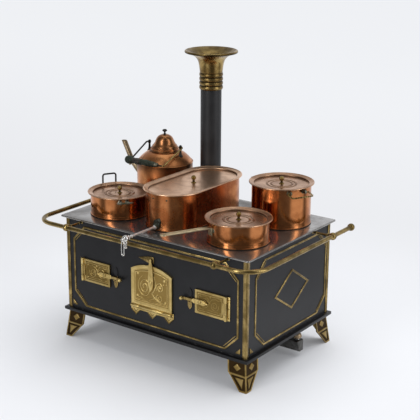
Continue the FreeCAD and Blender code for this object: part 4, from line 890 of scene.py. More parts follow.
def spin(points, degrees):
    """Points turned about the upright axis through the middle."""
    turn = math.radians(degrees)
    points = np.asarray(points, float)
    x = points[..., 0] * math.cos(turn) - points[..., 1] * math.sin(turn)
    y = points[..., 0] * math.sin(turn) + points[..., 1] * math.cos(turn)
    return np.stack([x, y, points[..., 2]], -1)


def vessel(node):
    """Place, radius, half length and rim height of a pot, from its CAD node."""
    low, high = span(node)
    radius = (high[0] - low[0]) / 2 - POT_BEAD
    half = (high[1] - low[1]) / 2 - POT_BEAD - radius
    return *middle_of(node), radius, half if half > 0.5 else 0.0, high[2]


def foot_line(radius):
    """Outline of a pot's seat ring and beaded foot, with heights from the hob."""
    seat = radius - SEAT_STEP
    foot = [(0, -SEAT_DROP), (seat, -SEAT_DROP), (seat, 0.05), (radius - 0.2, 0.05)]
    return soften(foot, 0.4)[:-1] + arc((radius - 0.1, POT_BEAD + 0.1), POT_BEAD, -80, 80, 6)


def bottom_line(radius):
    """Outline of a pot's bottom from within, with heights from the hob."""
    well = radius - SEAT_STEP - POT_WALL
    return [(radius - POT_WALL, POT_WALL), (well, POT_WALL), (well, POT_WALL - SEAT_DROP),
            (0, POT_WALL - SEAT_DROP)]


def pot_form(node):
    """Pot with a seat ring in the hob, a beaded foot, a wired rim and a tinned inside."""
    x, y, radius, half, rim = vessel(node)
    tall = rim - HOB
    inner = radius - POT_WALL
    outside = foot_line(radius)
    outside += soften([(radius, 2.0), (radius, 4.0), (radius - 0.12, 5.0), (radius, 6.0),
                       (radius, tall - 2.4), (radius, tall - 1.2), (radius, tall), (inner, tall)], 0.35)
    inside = soften([(inner, tall - 0.4)] + bottom_line(radius), 0.6)
    profile = outside + inside
    paint = [0] * (len(outside) - 1) + [1] * len(inside)
    # painted shade: a dark ring round the foot, where the pot stands on the hob
    dark = [0.75 * math.exp(-((height - 0.6) / 0.9) ** 2) for _, height in profile]
    form = Form()
    turn_form(form, profile, (x, y, HOB), half=half, segments=POT_STEPS, paint=paint, recess=dark)
    return form


# Each point's third number is painted shade, darkest in the grooves beside each raised ring.
RING_SECTION = ((-1.4, 0, 0.0), (-1.05, -0.34, 1.0), (-0.6, 0.12, 0.5), (0.0, 0.55, 0.0), (0.6, 0.12, 0.5),
                (1.05, -0.34, 1.0), (1.4, 0, 0.0))


def lid_form(node, rings):
    """Lid of a pot, with a sunk middle, raised rings round the knob and a rolled brim."""
    x, y, radius, half, rim = vessel(node)
    outer = radius + LID_BRIM
    plug = radius - POT_WALL - 0.6
    inner = plug - 1.2
    top = [(0, -LID_SUNK)]
    recess = [0.0]
    for ring in rings:
        for reach, rise, dark in RING_SECTION:
            top.append((ring + reach, rise - LID_SUNK))
            recess.append(dark)
    wall = soften([(inner - 2.2, -LID_SUNK), (inner, -LID_SUNK), (inner, 1.0), (outer - 2.1, 1.75)], 0.8)
    roll = arc((outer - 0.95, 1.6), 0.9, 150, -95, 9)
    under = soften([(outer - 1.1, 0.75), (radius + 0.1, 0.05), (plug, -0.05), (plug, -LID_PLUG),
                    (0, -LID_PLUG)], 0.4)[1:]
    # painted shade on the wall that rises from the sunk middle to the brim
    recess += [0.0 if share < 0.05 else 0.75 * math.exp(-((share - 0.4) / 0.3) ** 2)
               for share in np.linspace(0, 1, len(wall))]
    recess += [0.0] * (len(roll) + len(under))
    form = Form()
    turn_form(form, top + wall + roll + under, (x, y, rim), half=half, segments=POT_STEPS, recess=recess)
    return form


def knob_form(node):
    """Small turned knob: spread foot, thin neck with a collar, ball."""
    low, high = span(node)
    ball = 3.3
    foot = [(0, 0), (3.5, 0), (3.5, 0.5), (2.6, 0.9), (1.7, 1.8), (1.3, 3.0), (1.9, 3.4), (1.9, 3.8),
            (1.4, 4.1)]
    profile = soften(foot, 0.25) + arc((0, high[2] - low[2] - ball), ball, -62, 90, 12)
    # painted shade round the thin neck under the ball
    dark = [math.exp(-((height - 2.6) / 1.3) ** 2) for _, height in profile]
    form = Form()
    turn_form(form, profile, (*middle_of(node), low[2]), segments=36, recess=dark)
    return form


def loop_line(pot, turn, tilt, width, length, out):
    """Middle line of a wire loop through its two ears on a pot."""
    x, y, _, _, rim = vessel(pot + "_body")
    half = width / 2
    hook = half - LOOP_BEND - LOOP_HOOK
    corners = [(0, -hook), (0, -half), (length, -half), (length, half), (0, half), (0, hook)]
    line = bent([(*corner, 0) for corner in corners], LOOP_BEND)
    lean = math.radians(tilt)
    reach = line[:, 0] * math.cos(lean) - line[:, 2] * math.sin(lean) + POT_R + out
    lift = line[:, 0] * math.sin(lean) + line[:, 2] * math.cos(lean) + rim - LOOP_DROP
    return spin(np.stack([reach, line[:, 1], lift], -1), turn) + np.array((x, y, 0))


SOLDER_LUMP = ((0, -0.6), (1.0, -0.6), (1.0, 0.1), (0.86, 0.42), (0.6, 0.66), (0.3, 0.86), (0, 0.9))
SOLDER_STEPS = 26


def solder_form(form, centre, size, way):
    """Low uneven lump of solder on a wall."""
    across, up, along = axes(way)
    rings = []
    for radius, height in SOLDER_LUMP:
        ring = []
        for turn in np.linspace(0, 2 * math.pi, SOLDER_STEPS, endpoint=False):
            wobble = 1 + 0.10 * math.sin(3 * turn + size[0]) + 0.06 * math.sin(5 * turn + 1.7 * size[1])
            ring.append(np.array(centre) + across * (radius * wobble * size[0] * math.cos(turn))
                        + up * (radius * wobble * size[1] * math.sin(turn)) + along * (height * size[2]))
        rings.append(ring)
    form.grid(rings)


class STOVE_OT_walls(bpy.types.Operator):
    """Lacquered walls, base and hob of the stove"""

    bl_idname = "stove.walls"
    bl_label = "Walls and hob"

    def execute(self, context):
        self.paint("black_lacquer", "front_panel", "back_panel", "left_panel", "right_panel")
        round_edges("base_tray", "base_plate", "base_lacquer", 0.9, 3)
        round_edges("hob_plate", "top_plate", "burnished_steel", 0.55, 3)
        self.paint("tinplate", "left_oven_box", "right_oven_box")
        self.back_seam()
        return {"FINISHED"}

    def paint(self, paint, *nodes):
        """Puts a finish on CAD nodes that are shown as they are."""
        for node in nodes:
            materials = frame["nodes"][node].data.materials
            materials.clear()
            materials.append(finish(paint))

    def back_seam(self):
        """Lapped seam up the back wall and the bent tabs that hold it to the hob and the base."""
        form = Form()
        bottom, top = BASE_TOP + 0.3, BODY_TOP - 0.3
        self.patch(form, 0.0, 3.5, bottom, top, 0.5, 0.25)
        for u in (-112.0, -56.0, 56.0, 112.0):
            for low, high in ((bottom, bottom + 4.9), (top - 4.9, top)):
                self.patch(form, u, 5.0, low, high, 0.7, 0.3)
        add_form("back_seam", form, ["black_lacquer"], "stove", ())
        heights = np.linspace(BASE_TOP + 10.0, BODY_TOP - 10.0, 5)
        places = [((0.0, BACK + 0.4, z), (0, 1, 0)) for z in heights]
        add_rivets("back_rivets", places, "black_lacquer", "stove")

    def patch(self, form, u, half, low, high, rise, inset):
        """Upright piece of sheet on the back wall."""
        outline = [(u - half, low), (u + half, low), (u + half, high), (u - half, high)]
        plate_form(form, outline, -0.2, rise, lambda u, v, h: (-u, BACK + h, v), inset=inset)


class STOVE_OT_trim(bpy.types.Operator):
    """Brass corner posts and the octagon, diamond and triangle strips on the walls"""

    bl_idname = "stove.trim"
    bl_label = "Brass trim"

    leg = 5.0
    thick = 1.0
    bend = 1.6
    strip = 2.7
    rise = 0.95
    front_margin = 11.5
    side_margins = (18.5, 7.0)
    octagon_bottom = BASE_TOP + 6.0
    octagon_top = BODY_TOP - 8.5
    chamfer = 20.0
    line_inset = 2.4
    rhomb_z = BASE_TOP + 63.0
    rhomb_half = (39.4, 26.4)
    triangle_margin = 8.0
    triangle_z = BASE_TOP + 5.0

    def execute(self, context):
        form = Form()
        for sign_x in (-1, 1):
            for sign_y in (-1, 1):
                self.post(form, sign_x, sign_y)
        add_form("corner_angles", form, ["brass"], "stove", ["corner_posts"])

        form = Form()
        edge = SIDE - self.front_margin
        self.octagon(form, -edge, edge, on_front)
        for sign in (-1, 1):
            self.triangle(form, sign * (SIDE - self.triangle_margin), -sign, on_front)
        add_form("front_strips", form, ["brass"], "stove", ["front_moulding"])

        for sign, name in ((-1, "left"), (1, "right")):
            form = Form()
            low, high = FRONT + self.side_margins[0], BACK - self.side_margins[1]
            to_space = on_side(sign)
            self.octagon(form, low, high, to_space)
            self.triangle(form, FRONT + self.triangle_margin, 1, to_space)
            middle, z = (low + high) / 2, self.rhomb_z
            wide, tall = self.rhomb_half
            rhomb = [(middle - wide, z), (middle, z - tall), (middle + wide, z), (middle, z + tall)]
            strip_form(form, rhomb, self.strip, self.rise, to_space)
            add_form(name + "_strips", form, ["brass"], "stove", [name + "_moulding"])
        return {"FINISHED"}

    def post(self, form, sign_x, sign_y):
        """Brass angle up one corner of the body, with its outer bend rounded."""
        outer_x, outer_y = SIDE + self.thick, BACK + self.thick
        edge_x, edge_y = SIDE - self.leg, BACK - self.leg
        corner = arc((outer_x - self.bend, outer_y - self.bend), self.bend, 0, 90, 6)
        angle = [(SIDE + 0.05, edge_y), (outer_x - 0.35, edge_y), (outer_x, edge_y + 0.5)] + corner
        angle += [(edge_x + 0.5, outer_y), (edge_x, outer_y - 0.35), (edge_x, BACK + 0.05),
                  (SIDE + 0.05, BACK + 0.05)]
        rings = [[(sign_x * x, sign_y * y, z) for x, y in angle]
                 for z in np.linspace(BASE_TOP + 0.05, BODY_TOP - 0.05, 12)]
        # painted shade along the edges where the angle meets the walls, and darker along the bend
        dark = [0.5, 0.1, 0.0] + [0.32] * len(corner) + [0.0, 0.1, 0.5, 0.5]
        form.grid(rings, recess=dark * len(rings))
        for ring in (rings[0], rings[-1]):
            form.add(ring, [tuple(range(len(ring)))])

    def octagon(self, form, low, high, to_space):
        """Octagon of strip on a wall, with a fine line inside each of its cut corners."""
        half = self.strip / 2
        low, high = low + half, high - half
        bottom, top = self.octagon_bottom + half, self.octagon_top - half
        cut = self.chamfer - half * (2 - math.sqrt(2))
        outline = [(low + cut, bottom), (high - cut, bottom), (high, bottom + cut), (high, top - cut),
                   (high - cut, top), (low + cut, top), (low, top - cut), (low, bottom + cut)]
        strip_form(form, outline, self.strip, self.rise, to_space)
        near, far = cut * 0.02 + self.line_inset, cut * 0.98 + self.line_inset
        for u, way_u in ((low, 1), (high, -1)):
            for v, way_v in ((bottom, 1), (top, -1)):
                line = [(u + way_u * far, v + way_v * near), (u + way_u * near, v + way_v * far)]
                strip_form(form, line, 1.2, 0.6, to_space, closed=False)

    def triangle(self, form, corner, inward, to_space):
        """Small raised triangle in a lower corner of a wall."""
        near, far = 0.8, 6.6
        places = ((near, near), (far, near), (near, far))
        outline = [(corner + inward * u, self.triangle_z + v) for u, v in places]
        plate_form(form, outline, -0.3, 0.5, to_space)
        strip_form(form, outline, 1.3, 0.9, to_space)


class STOVE_OT_feet(bpy.types.Operator):
    """Four cast feet; each face has two sunk panels, one round a diamond and one round a triangle"""

    bl_idname = "stove.feet"
    bl_label = "Feet"

    width = 28.0
    narrowing = 17.0
    knee = 22.0
    splay = 4.9
    sheet = 2.5
    bar_z = 20.5
    diamond = (14.0, 30.3)
    diamond_half = (6.6, 5.6)
    wedge_z = (4.0, 16.3)
    columns = 48
    rows = 72

    def execute(self, context):
        form = Form()
        for sign_x in (-1, 1):
            for sign_y in (-1, 1):
                self.foot(form, sign_x, sign_y)
        add_form("cast_feet", form, ["antique_brass"], "stove", ["feet"], sharp=75)
        return {"FINISHED"}

    def leg(self, z):
        """Width of a face at a height: straight above the knee, narrower to the toe."""
        share = np.clip((self.knee - z) / self.knee, 0, 1)
        return self.width - self.narrowing * share ** 0.92

    def relief(self, d, z):
        """Depth of the sunk panels at a distance from the corner and a height."""
        leg = self.leg(z)
        edge = np.minimum(np.minimum(leg - d, d), np.minimum(FOOT_H - z, z))
        sunk = band(edge, 1.5, 2.3)
        bar = 1 - band(np.abs(z - self.bar_z), 0.9, 1.6)
        away = np.abs(d - self.diamond[0]) / self.diamond_half[0]
        away = away + np.abs(z - self.diamond[1]) / self.diamond_half[1]
        diamond = 1 - band(away, 0.75, 1.0)
        point, top = self.wedge_z
        half_width = 0.32 * leg * np.clip((z - point) / 13.0, 0.02, 1)
        away = np.maximum(np.abs(d - leg * 0.47) / half_width, 0.72 + (z - top) / 3.2)
        wedge = (1 - band(away, 0.72, 1.06)) * (z > point)
        raised = np.maximum(np.maximum(bar, diamond * 0.9), wedge * 0.9)
        return sunk * (1 - raised)

    def foot(self, form, sign_x, sign_y):
        """One foot: its two faces meet at the corner, and plain faces close it behind them."""
        half = np.linspace(0, 1, self.columns)
        shares = np.concatenate([-half[::-1], half[1:]])
        z = np.linspace(FOOT_H - 0.02, 0, self.rows)[:, None]
        d = np.abs(shares) * self.leg(z)
        sunk = self.relief(d, z)
        soft = 0.5 * np.exp(-(d / 0.8) ** 2)
        splay = self.splay * (FOOT_H - z) / FOOT_H
        level = z + 0 * d
        back_face = shares < 0

        def side(along, across):
            x = SIDE + splay + np.where(back_face, along, across)
            y = BACK + splay + np.where(back_face, across, along)
            return np.stack([sign_x * x, sign_y * y, level], -1)

        outer = side(-d - soft * 0.5, -sunk - soft)
        inner = side(np.minimum(-d, -self.sheet), -self.sheet)
        # painted shade over the sunk panels
        form.grid(outer, around=False, recess=np.clip(sunk, 0, 1).ravel())
        form.grid(inner, around=False)
        for edge in (np.s_[:, 0], np.s_[:, -1], np.s_[0], np.s_[-1]):
            form.grid([outer[edge], inner[edge]], around=False)


class STOVE_OT_rail(bpy.types.Operator):
    """Bent hand rail, its turned studs and its end balls"""

    bl_idname = "stove.rail"
    bl_label = "Hand rail"

    def execute(self, context):
        end = BACK + 1.0
        places = ((-RAIL_X, end), (-RAIL_X, RAIL_Y), (RAIL_X, RAIL_Y), (RAIL_X, end))
        form = Form()
        line = bent([(x, y, RAIL_Z) for x, y in places], RAIL_BEND, 22)
        sweep_form(form, line, circle(RAIL_R, 28), 0.6)
        add_form("rail_rod", form, ["brass"], "stove", ["hand_rail"])

        form = Form()
        for sign in (-1, 1):
            self.stud(form, (sign * (SIDE - 28.0), FRONT, RAIL_Z), (0, -1, 0))
            self.stud(form, (sign * SIDE, 54.0, RAIL_Z), (sign, 0, 0))
            self.end_ball(form, (sign * RAIL_X, end - 3.0, RAIL_Z))
        add_form("rail_studs", form, ["brass"], "stove", ["rail_fittings"])
        return {"FINISHED"}

    def stud(self, form, foot, way):
        """Turned stud with two collars and the ball that the rod goes through."""
        profile = [(0, 0.02), (2.6, 0.02), (2.6, 1.0), (2.1, 1.5), (1.5, 2.2), (1.45, 5.0), (2.0, 5.6),
                   (2.0, 6.4), (1.45, 7.0), (1.6, 14.0), (1.8, 21.0), (2.5, 21.7), (2.5, 22.7), (1.9, 23.4),
                   (2.2, 25.2)]
        profile = soften(profile, 0.4) + arc((0, 30.8), 5.1, -62, 74, 14)
        profile += [(1.2, 35.75), (1.2, 35.95), (0, 35.95)]
        # painted shade in the crease under the ball and round the small top
        dark = [math.exp(-((height - 25.0) / 1.2) ** 2) + math.exp(-((height - 35.8) / 0.3) ** 2) * 0.5
                for _, height in profile]
        turn_form(form, profile, foot, way, segments=40, recess=np.clip(dark, 0, 1))

    def end_ball(self, form, place):
        """Ball with a collar on the end of the rod."""
        profile = [(0, 0.3), (3.5, 0.3), (3.9, 0.8), (3.9, 1.5), (3.4, 2.0)]
        profile = soften(profile, 0.3) + arc((0, 5.2), 5.1, -45, 90, 14)
        # painted shade in the crease between the collar and the ball
        dark = [math.exp(-((height - 1.9) / 0.5) ** 2) for _, height in profile]
        turn_form(form, profile, place, (0, 1, 0), segments=40, recess=dark)


class STOVE_OT_chimney(bpy.types.Operator):
    """Collar, black flue pipe with a lapped seam, and beaded brass bell"""

    bl_idname = "stove.chimney"
    bl_label = "Chimney"

    seam_turn = math.radians(118)
    lap = ((-0.25, -1.9), (0.12, -1.7), (0.28, -1.2), (0.28, 1.2), (0.12, 1.7), (-0.25, 1.9))
    sleeve_drop = 24.0
    bead_pitch = 6.0
    bead = ((0.35, -0.1), (1.0, 0.45), (2.0, 0.78), (3.0, 0.88), (4.0, 0.78), (5.0, 0.45), (5.65, -0.1))
    flare_rise = 28.0
    flare_foot = 15.95
    flare_reach = 20.0
    lip_reach = 35.57
    lip_r = 1.8

    def execute(self, context):
        round_edges("flue_collar", "chimney_collar", "black_pipe", 0.4)
        self.pipe(CHIMNEY_LOW[2], CHIMNEY_HIGH[2])
        self.bell(CHIMNEY_HIGH[2])
        return {"FINISHED"}

    def pipe(self, low, top):
        """Pipe with a lapped seam up its back."""
        form = Form()
        foot = low + 0.02
        profile = [(PIPE_BORE, foot), (PIPE_R, foot), (PIPE_R, low + 5.0), (PIPE_R, top - 30.0),
                   (PIPE_R, top), (PIPE_BORE, top), (PIPE_BORE, low + 5.0)]
        turn_form(form, soften(profile, 0.3, closed=True), (*CHIMNEY, 0), segments=96, closed=True)
        out = np.array((math.cos(self.seam_turn), math.sin(self.seam_turn), 0))
        along = np.array((-out[1], out[0], 0))
        rings = []
        for z in np.linspace(low + 1.0, top - 25.0, 20):
            point = np.array((*CHIMNEY, z)) + PIPE_R * out
            rings.append([point + out * rise + along * shift for rise, shift in self.lap])
        form.grid(rings)
        add_form("flue_pipe", form, ["black_pipe"], "chimney", ["chimney_pipe"])

    def bell(self, top):
        """Beaded sleeve over the pipe, and the flare with its rolled lip."""
        inner = PIPE_R + 0.05
        sleeve = inner + 1.0
        foot = -self.sleeve_drop
        outside = [(inner, foot + 0.02), (sleeve - 0.2, foot + 0.02)]
        # painted shade: darkest between the beads, lighter on them, under and round the lip, and far inside
        # the bell
        dark = [0.6, 0.6]
        for step in range(4):
            for height, reach in self.bead:
                outside.append((sleeve + reach, foot + step * self.bead_pitch + height))
                dark.append(1.0 if reach < 0 else 0.40)
        flare = []
        for share in np.linspace(0, 1, 15):
            curve = 0.14 * share + 0.06 * share ** 2 + 0.80 * share ** 5.5
            flare.append((self.flare_foot + self.flare_reach * curve, self.flare_rise * share))
        lip = arc((self.lip_reach, self.flare_rise + 0.98), self.lip_r, -100, 100, 12)
        inside = [(radius - 1.2, height + 1.0) for radius, height in reversed(flare)][1:-1]
        inside += [(PIPE_BORE, 2.4), (PIPE_BORE, 0.05), (inner, 0.05)]
        dark += [0.25] + [0.0] * (len(flare) - 1)
        for line, places, depths in ((lip, (0, 0.35, 0.6, 0.8, 1), (0.8, 0.8, 0.5, 0.1, 0.3)),
                                     (inside, (0, 0.2, 0.4, 1), (0.5, 0.2, 0.3, 0.95))):
            dark += list(np.interp(np.linspace(0, 1, len(line)), places, depths))
        profile = outside + flare + lip + inside
        form = Form()
        turn_form(form, profile, (*CHIMNEY, top), segments=POT_STEPS, closed=True, recess=dark)
        add_form("flue_bell", form, ["bell_gold"], "chimney", ["chimney_bell"])


class STOVE_OT_doors(bpy.types.Operator):
    """Stamped brass doors with their knuckles and latch studs"""

    bl_idname = "stove.doors"
    bl_label = "Doors"

    oven_cells = (150, 104)
    fire_cells = (176, 152)
    web_half = 8.0
    fire_web_half = 20.0

    def execute(self, context):
        for sign, name, body in ((-1, "left_oven_door", "left_door"), (1, "right_oven_door", "right_door")):
            self.oven_door(sign, name, body)
        form = Form()
        stamped_form(form, -FIRE_HALF, FIRE_HALF, FIRE_BOTTOM, self.arch, self.fire_cells, self.fire_relief,
                     DOOR_FACE_Y, DOOR_BACK_Y)
        hinge_z = FIRE_BOTTOM - KNUCKLE_R
        half = self.fire_web_half
        self.knuckle(form, (-half, HINGE_Y, hinge_z), (half, HINGE_Y, hinge_z))
        half -= 0.1
        web = [(-half, hinge_z), (half, hinge_z), (half, FIRE_BOTTOM + 3.0), (-half, FIRE_BOTTOM + 3.0)]
        plate_form(form, web, 1.4, 2.45, on_front)
        self.stud(form, 0.0, FIRE_PIVOT_Z)
        add_form("fire_door", form, ["stamped_brass"], "centre_door", ["centre_door"], sharp=55)
        return {"FINISHED"}

    def oven_door(self, sign, name, body):
        """Side door; sign is its side of the stove."""
        form = Form()
        x = sign * DOOR_X
        stamped_form(form, x - DOOR_HALF[0], x + DOOR_HALF[0], DOOR_Z - DOOR_HALF[1],
                     lambda u: np.full_like(u, DOOR_Z + DOOR_HALF[1]), self.oven_cells,
                     lambda u, v: self.oven_relief(sign * u, v, sign), DOOR_FACE_Y, DOOR_BACK_Y)
        hinge = sign * HINGE_X
        half = self.web_half
        self.knuckle(form, (hinge, HINGE_Y, DOOR_Z - half), (hinge, HINGE_Y, DOOR_Z + half))
        half -= 0.1
        edge = sign * (DOOR_X + DOOR_HALF[0] - 3.0)
        web = [(edge, DOOR_Z - half), (hinge, DOOR_Z - half), (hinge, DOOR_Z + half), (edge, DOOR_Z + half)]
        plate_form(form, web, 1.4, 3.6, on_front)
        self.stud(form, sign * LATCH_X, DOOR_Z)
        add_form(name, form, ["oven_brass"], body, [body], sharp=55)

    def arch(self, u):
        """Height of the fire door's upper edge."""
        radius = (FIRE_HALF ** 2 + FIRE_RISE ** 2) / (2 * FIRE_RISE)
        return FIRE_SPRING + np.sqrt(radius ** 2 - u ** 2) - (radius - FIRE_RISE)

    def knuckle(self, form, start, end):
        sweep_form(form, [start, end], circle(KNUCKLE_R, 20), 0.6)

    def stud(self, form, x, z):
        """Rivet that a latch turns on."""
        profile = [(0, 0.3), (1.45, 0.3), (1.45, 2.55), (2.5, 2.6), (2.5, 2.9), (1.6, 3.3), (0, 3.38)]
        turn_form(form, soften(profile, 0.2), (x, DOOR_FACE_Y + 0.5, z), (0, -1, 0), segments=24)

    def stamped(self, depth, sunk, rise, ground):
        """Depth below the border: sunk ground with a fine grain, less where the ornament rises."""
        return depth * sizes().stamp / MM * sunk * (1 - np.clip(rise, 0, 1)) + 0.006 * sunk * ground

    def oven_relief(self, u, v, sign):
        """Depth below the raised border of a side door."""
        x, z = u - DOOR_X, v - DOOR_Z
        edge = np.minimum(DOOR_HALF[0] - np.abs(x), DOOR_HALF[1] - np.abs(z))
        sunk = band(edge, 2.6, 3.3)
        rise = 0.75 * (1 - band(np.abs(edge - 4.6), 0.35, 0.8))
        full = 0.9 if sign < 0 else 0.5
        lines = [volute(-8.5, 0.5, 7.0, 7.5, 0.55, 1.9), volute(7.0, -1.0, 6.6, 6.6, 0.05, -1.8),
                 [(-15.0, -8.5), (-9.0, -9.6), (-2.0, -8.2), (4.0, -8.9), (12.5, -8.6)],
                 [(-1.5, 0.2), (0.2, 4.0), (3.5, 7.6), (9.0, 8.8), (14.0, 7.2)],
                 [(-1.5, 0.2), (-1.8, 4.8), (-5.2, 9.0), (-11.0, 9.3), (-15.5, 7.0)]]
        for line in lines:
            rise = np.maximum(rise, full * ridge(x, z, line, 0.95))
        for dot in ((-16.0, 8.6), (16.0, 8.6), (-16.0, -8.8), (16.0, -8.8), (0.3, 9.6)):
            rise = np.maximum(rise, full * knob_mask(x, z, *dot, 1.5))
        return self.stamped(0.9, sunk, rise, np.sin(x * 3.1) * np.sin(z * 3.3))

    def fire_relief(self, u, v):
        """Depth below the raised border of the fire door."""
        edge = np.minimum(np.minimum(FIRE_HALF - np.abs(u), v - FIRE_BOTTOM), (self.arch(u) - v) * 0.94)
        z = v - FIRE_BOTTOM
        sunk = band(edge, 3.0, 3.9)
        step = 0.55 * (1 - band(edge, 5.4, 6.2))
        inner_line = 0.9 * (1 - band(np.abs(edge - 7.4), 0.4, 0.9))
        rise = np.maximum(step, inner_line)
        lines = [volute(-11.5, 28.0, 11.5, 15.0, 0.30, 2.3, 120), volute(14.0, 31.5, 6.5, 7.5, 0.60, -1.7),
                 volute(13.5, 17.0, 5.5, 5.0, 0.35, 1.5),
                 [(1.0, 21.0), (5.0, 16.0), (9.5, 12.6), (16.0, 10.8), (24.0, 11.2)],
                 [(1.0, 21.0), (4.0, 25.0), (6.5, 31.0), (7.0, 38.0), (4.5, 45.0)],
                 [(-24.0, 12.4), (-14.0, 10.9), (-4.0, 11.2), (3.0, 13.8), (8.0, 18.8)],
                 [(-25.0, 9.2), (25.0, 9.2)]]
        for line in lines:
            rise = np.maximum(rise, ridge(u, z, line, 1.15))
        for dot in ((21.5, 43.0, 2.3), (23.0, 13.0, 1.9), (-23.0, 44.5, 2.0), (-24.0, 13.5, 1.7),
                    (20.0, 37.5, 1.2), (25.0, 38.5, 1.2), (14.0, 31.5, 1.3)):
            rise = np.maximum(rise, knob_mask(u, z, *dot))
        return self.stamped(1.0, sunk, rise, np.sin(u * 2.9) * np.sin(z * 3.1))


class STOVE_OT_latches(bpy.types.Operator):
    """Latch bars, leaf keepers, hinge leaves and the toothed apron"""

    bl_idname = "stove.latches"
    bl_label = "Latches and hinges"

    def execute(self, context):
        for sign, name in ((-1, "left"), (1, "right")):
            node = name + "_latch"
            round_edges(name + "_latch_bar", node, "brass", 0.4, 3)
            self.side_trim(sign, name, node)
        self.fire_latch()
        self.keepers()
        self.veins()
        round_edges("hinge_leaves", "door_hinges", "stamped_brass", 0.3)
        places = [((sign * (HINGE_X + 3.2), FRONT - 0.8, DOOR_Z + lift), (0, -1, 0))
                  for sign in (-1, 1) for lift in (-12.5, 0.0, 12.5)]
        add_rivets("hinge_rivets", places, "brass", "stove", 0.8)
        round_edges("apron_plate", "centre_apron", "stamped_brass", 0.3)
        self.apron_edges()
        return {"FINISHED"}

    def line(self, form, points, width, height, to_space, paint=0):
        """Fine raised line with free ends."""
        strip_form(form, points, width, height, to_space, paint, closed=False)

    def on_latch(self, u, v, h):
        return (u, LATCH_FACE_Y - h, v)

    def side_trim(self, sign, name, body):
        """Ball end, pointed plate and arrow lines on a side latch."""
        form = Form()
        end = sign * (LATCH_X - 28.0)
        profile = soften([(0, 0.4), (1.5, 0.4), (1.5, 1.2)], 0.2) + arc((0, 2.2), 2.8, -21, 90, 12)
        turn_form(form, profile, (end, LATCH_Y - 0.2, DOOR_Z), (0, -1, 0), segments=28, paint=1)

        def on_plate(u, v, h):
            return self.on_latch(sign * (LATCH_X + u), DOOR_Z + v, h)

        tip = 13.8
        side = [(-11.6, -2.2), (-9.6, -3.2), (7.0, -3.5)]
        plate = [(-12.6, 0)] + side + [(tip, 0)] + [(u, -v) for u, v in side[::-1]]
        blade_form(form, plate, STUD_HOLE, -0.85, 0.14, on_plate, 1)
        for reach in (1.3, 4.4):
            arrow = [(tip - 5.6 - reach, 2.7), (tip - reach, 0), (tip - 5.6 - reach, -2.7)]
            self.line(form, arrow, 0.9, 0.5, on_plate, 1)
        for u, half, paint in ((-22.0, 1.6, 0), (-8.0, 2.8, 1)):
            self.line(form, [(u, -half), (u, half)], 1.0, 0.42, on_plate, paint)
        add_form(name + "_latch_trim", form, ["brass", "stamped_brass"], body, ())

    def fire_latch(self):
        """Pointed blade of the fire door's latch, with a ring round its pivot and a middle line."""

        def on_blade(u, v, h):
            return self.on_latch(u, FIRE_PIVOT_Z + v, h)

        form = Form()
        side = [(2.6, -8.6), (4.2, -3.0), (4.4, 2.0), (4.0, 10.0), (3.5, 18.0), (3.0, 24.0), (1.75, 27.6),
                (1.75, 31.2), (1.2, 32.5)]
        blade = [(0, -12.6)] + side + [(0, 33.0)] + [(-u, v) for u, v in side[::-1]]
        blade_form(form, blade, STUD_HOLE, -1.2, 0.0, on_blade)
        add_form("fire_latch_bar", form, ["stamped_brass"], "centre_latch", ["centre_latch"])
        form = Form()
        profile = [(3.3 + 0.5 * math.cos(turn), 0.4 * math.sin(turn))
                   for turn in np.linspace(0, 2 * math.pi, 12, endpoint=False)]
        turn_form(form, profile, on_blade(0, 0, 0), (0, -1, 0), segments=32, closed=True)
        self.line(form, [(0, 6.0), (0, 24.0)], 0.8, 0.25, on_blade)
        add_form("fire_latch_trim", form, ["stamped_brass"], "centre_latch", ())

    def keepers(self):
        """Keeper leaves; the upper leaf of each side pair gets the wall's black lacquer finish and shows as
        dark as the wall behind it.
        """
        mesh = rounded_mesh("door_keepers", 0.3)
        cut = DOOR_Z + 2.2
        work = bmesh.new()
        work.from_mesh(mesh)
        bmesh.ops.bisect_plane(work, geom=work.verts[:] + work.edges[:] + work.faces[:],
                               plane_co=(0, 0, cut * MM), plane_no=(0, 0, 1))
        for face in work.faces:
            x, _, z = face.calc_center_median() / MM
            face.material_index = int(abs(x) > FIRE_HALF and z > cut)
        work.to_mesh(mesh)
        work.free()
        add_piece("keeper_leaves", mesh, ["brass", "black_lacquer"], "stove", ["door_keepers"])

    def veins(self):
        """Raised middle and side veins on the bright keeper leaves."""
        form = Form()
        for sign in (-1, 1):
            x = sign * (DOOR_X - DOOR_HALF[0] - 9.5)
            self.line(form, [(x, DOOR_Z - 4.2), (x, DOOR_Z - 13.2)], 0.9, 0.4, self.on_leaf)
            for side in (-1, 1):
                for z in (DOOR_Z - 6.0, DOOR_Z - 8.6):
                    self.line(form, [(x, z), (x + side * 2.0, z - 2.0)], 0.6, 0.3, self.on_leaf)
        middle = FIRE_PIVOT_Z + 30.25
        self.line(form, [(-20.5, middle), (-7.0, middle)], 0.9, 0.4, self.on_leaf)
        for x in (-16.0, -12.0):
            for side in (-1, 1):
                self.line(form, [(x, middle), (x + 3.0, middle + side * 2.6)], 0.6, 0.3, self.on_leaf)
        add_form("keeper_veins", form, ["brass"], "stove", ())

    def on_leaf(self, u, v, h):
        return (u, FRONT - 1.0 - h, v)

    def on_apron(self, u, v, h):
        return (u, FRONT - 0.8 - h, v)

    def apron_edges(self):
        """Bright raised edges along the apron's teeth and its upper line."""
        form = Form()
        valley = FIRE_BOTTOM - KNUCKLE_R - 6.0
        tip = valley - 8.0
        half = FIRE_HALF + 2.0
        for middle in (-half + 8.0, 0.0, half - 8.0):
            for reach, top, bottom, width, height in ((7.2, valley - 0.2, tip + 1.0, 1.0, 0.5),
                                                      (3.6, valley + 0.6, tip + 4.4, 0.7, 0.35)):
                tooth = [(middle - reach, top), (middle, bottom), (middle + reach, top)]
                self.line(form, tooth, width, height, self.on_apron)
        upper = valley + 2.6
        self.line(form, [(-half + 1.0, upper), (half - 1.0, upper)], 0.9, 0.45, self.on_apron)
        add_form("apron_edges", form, ["brass"], "stove", ())


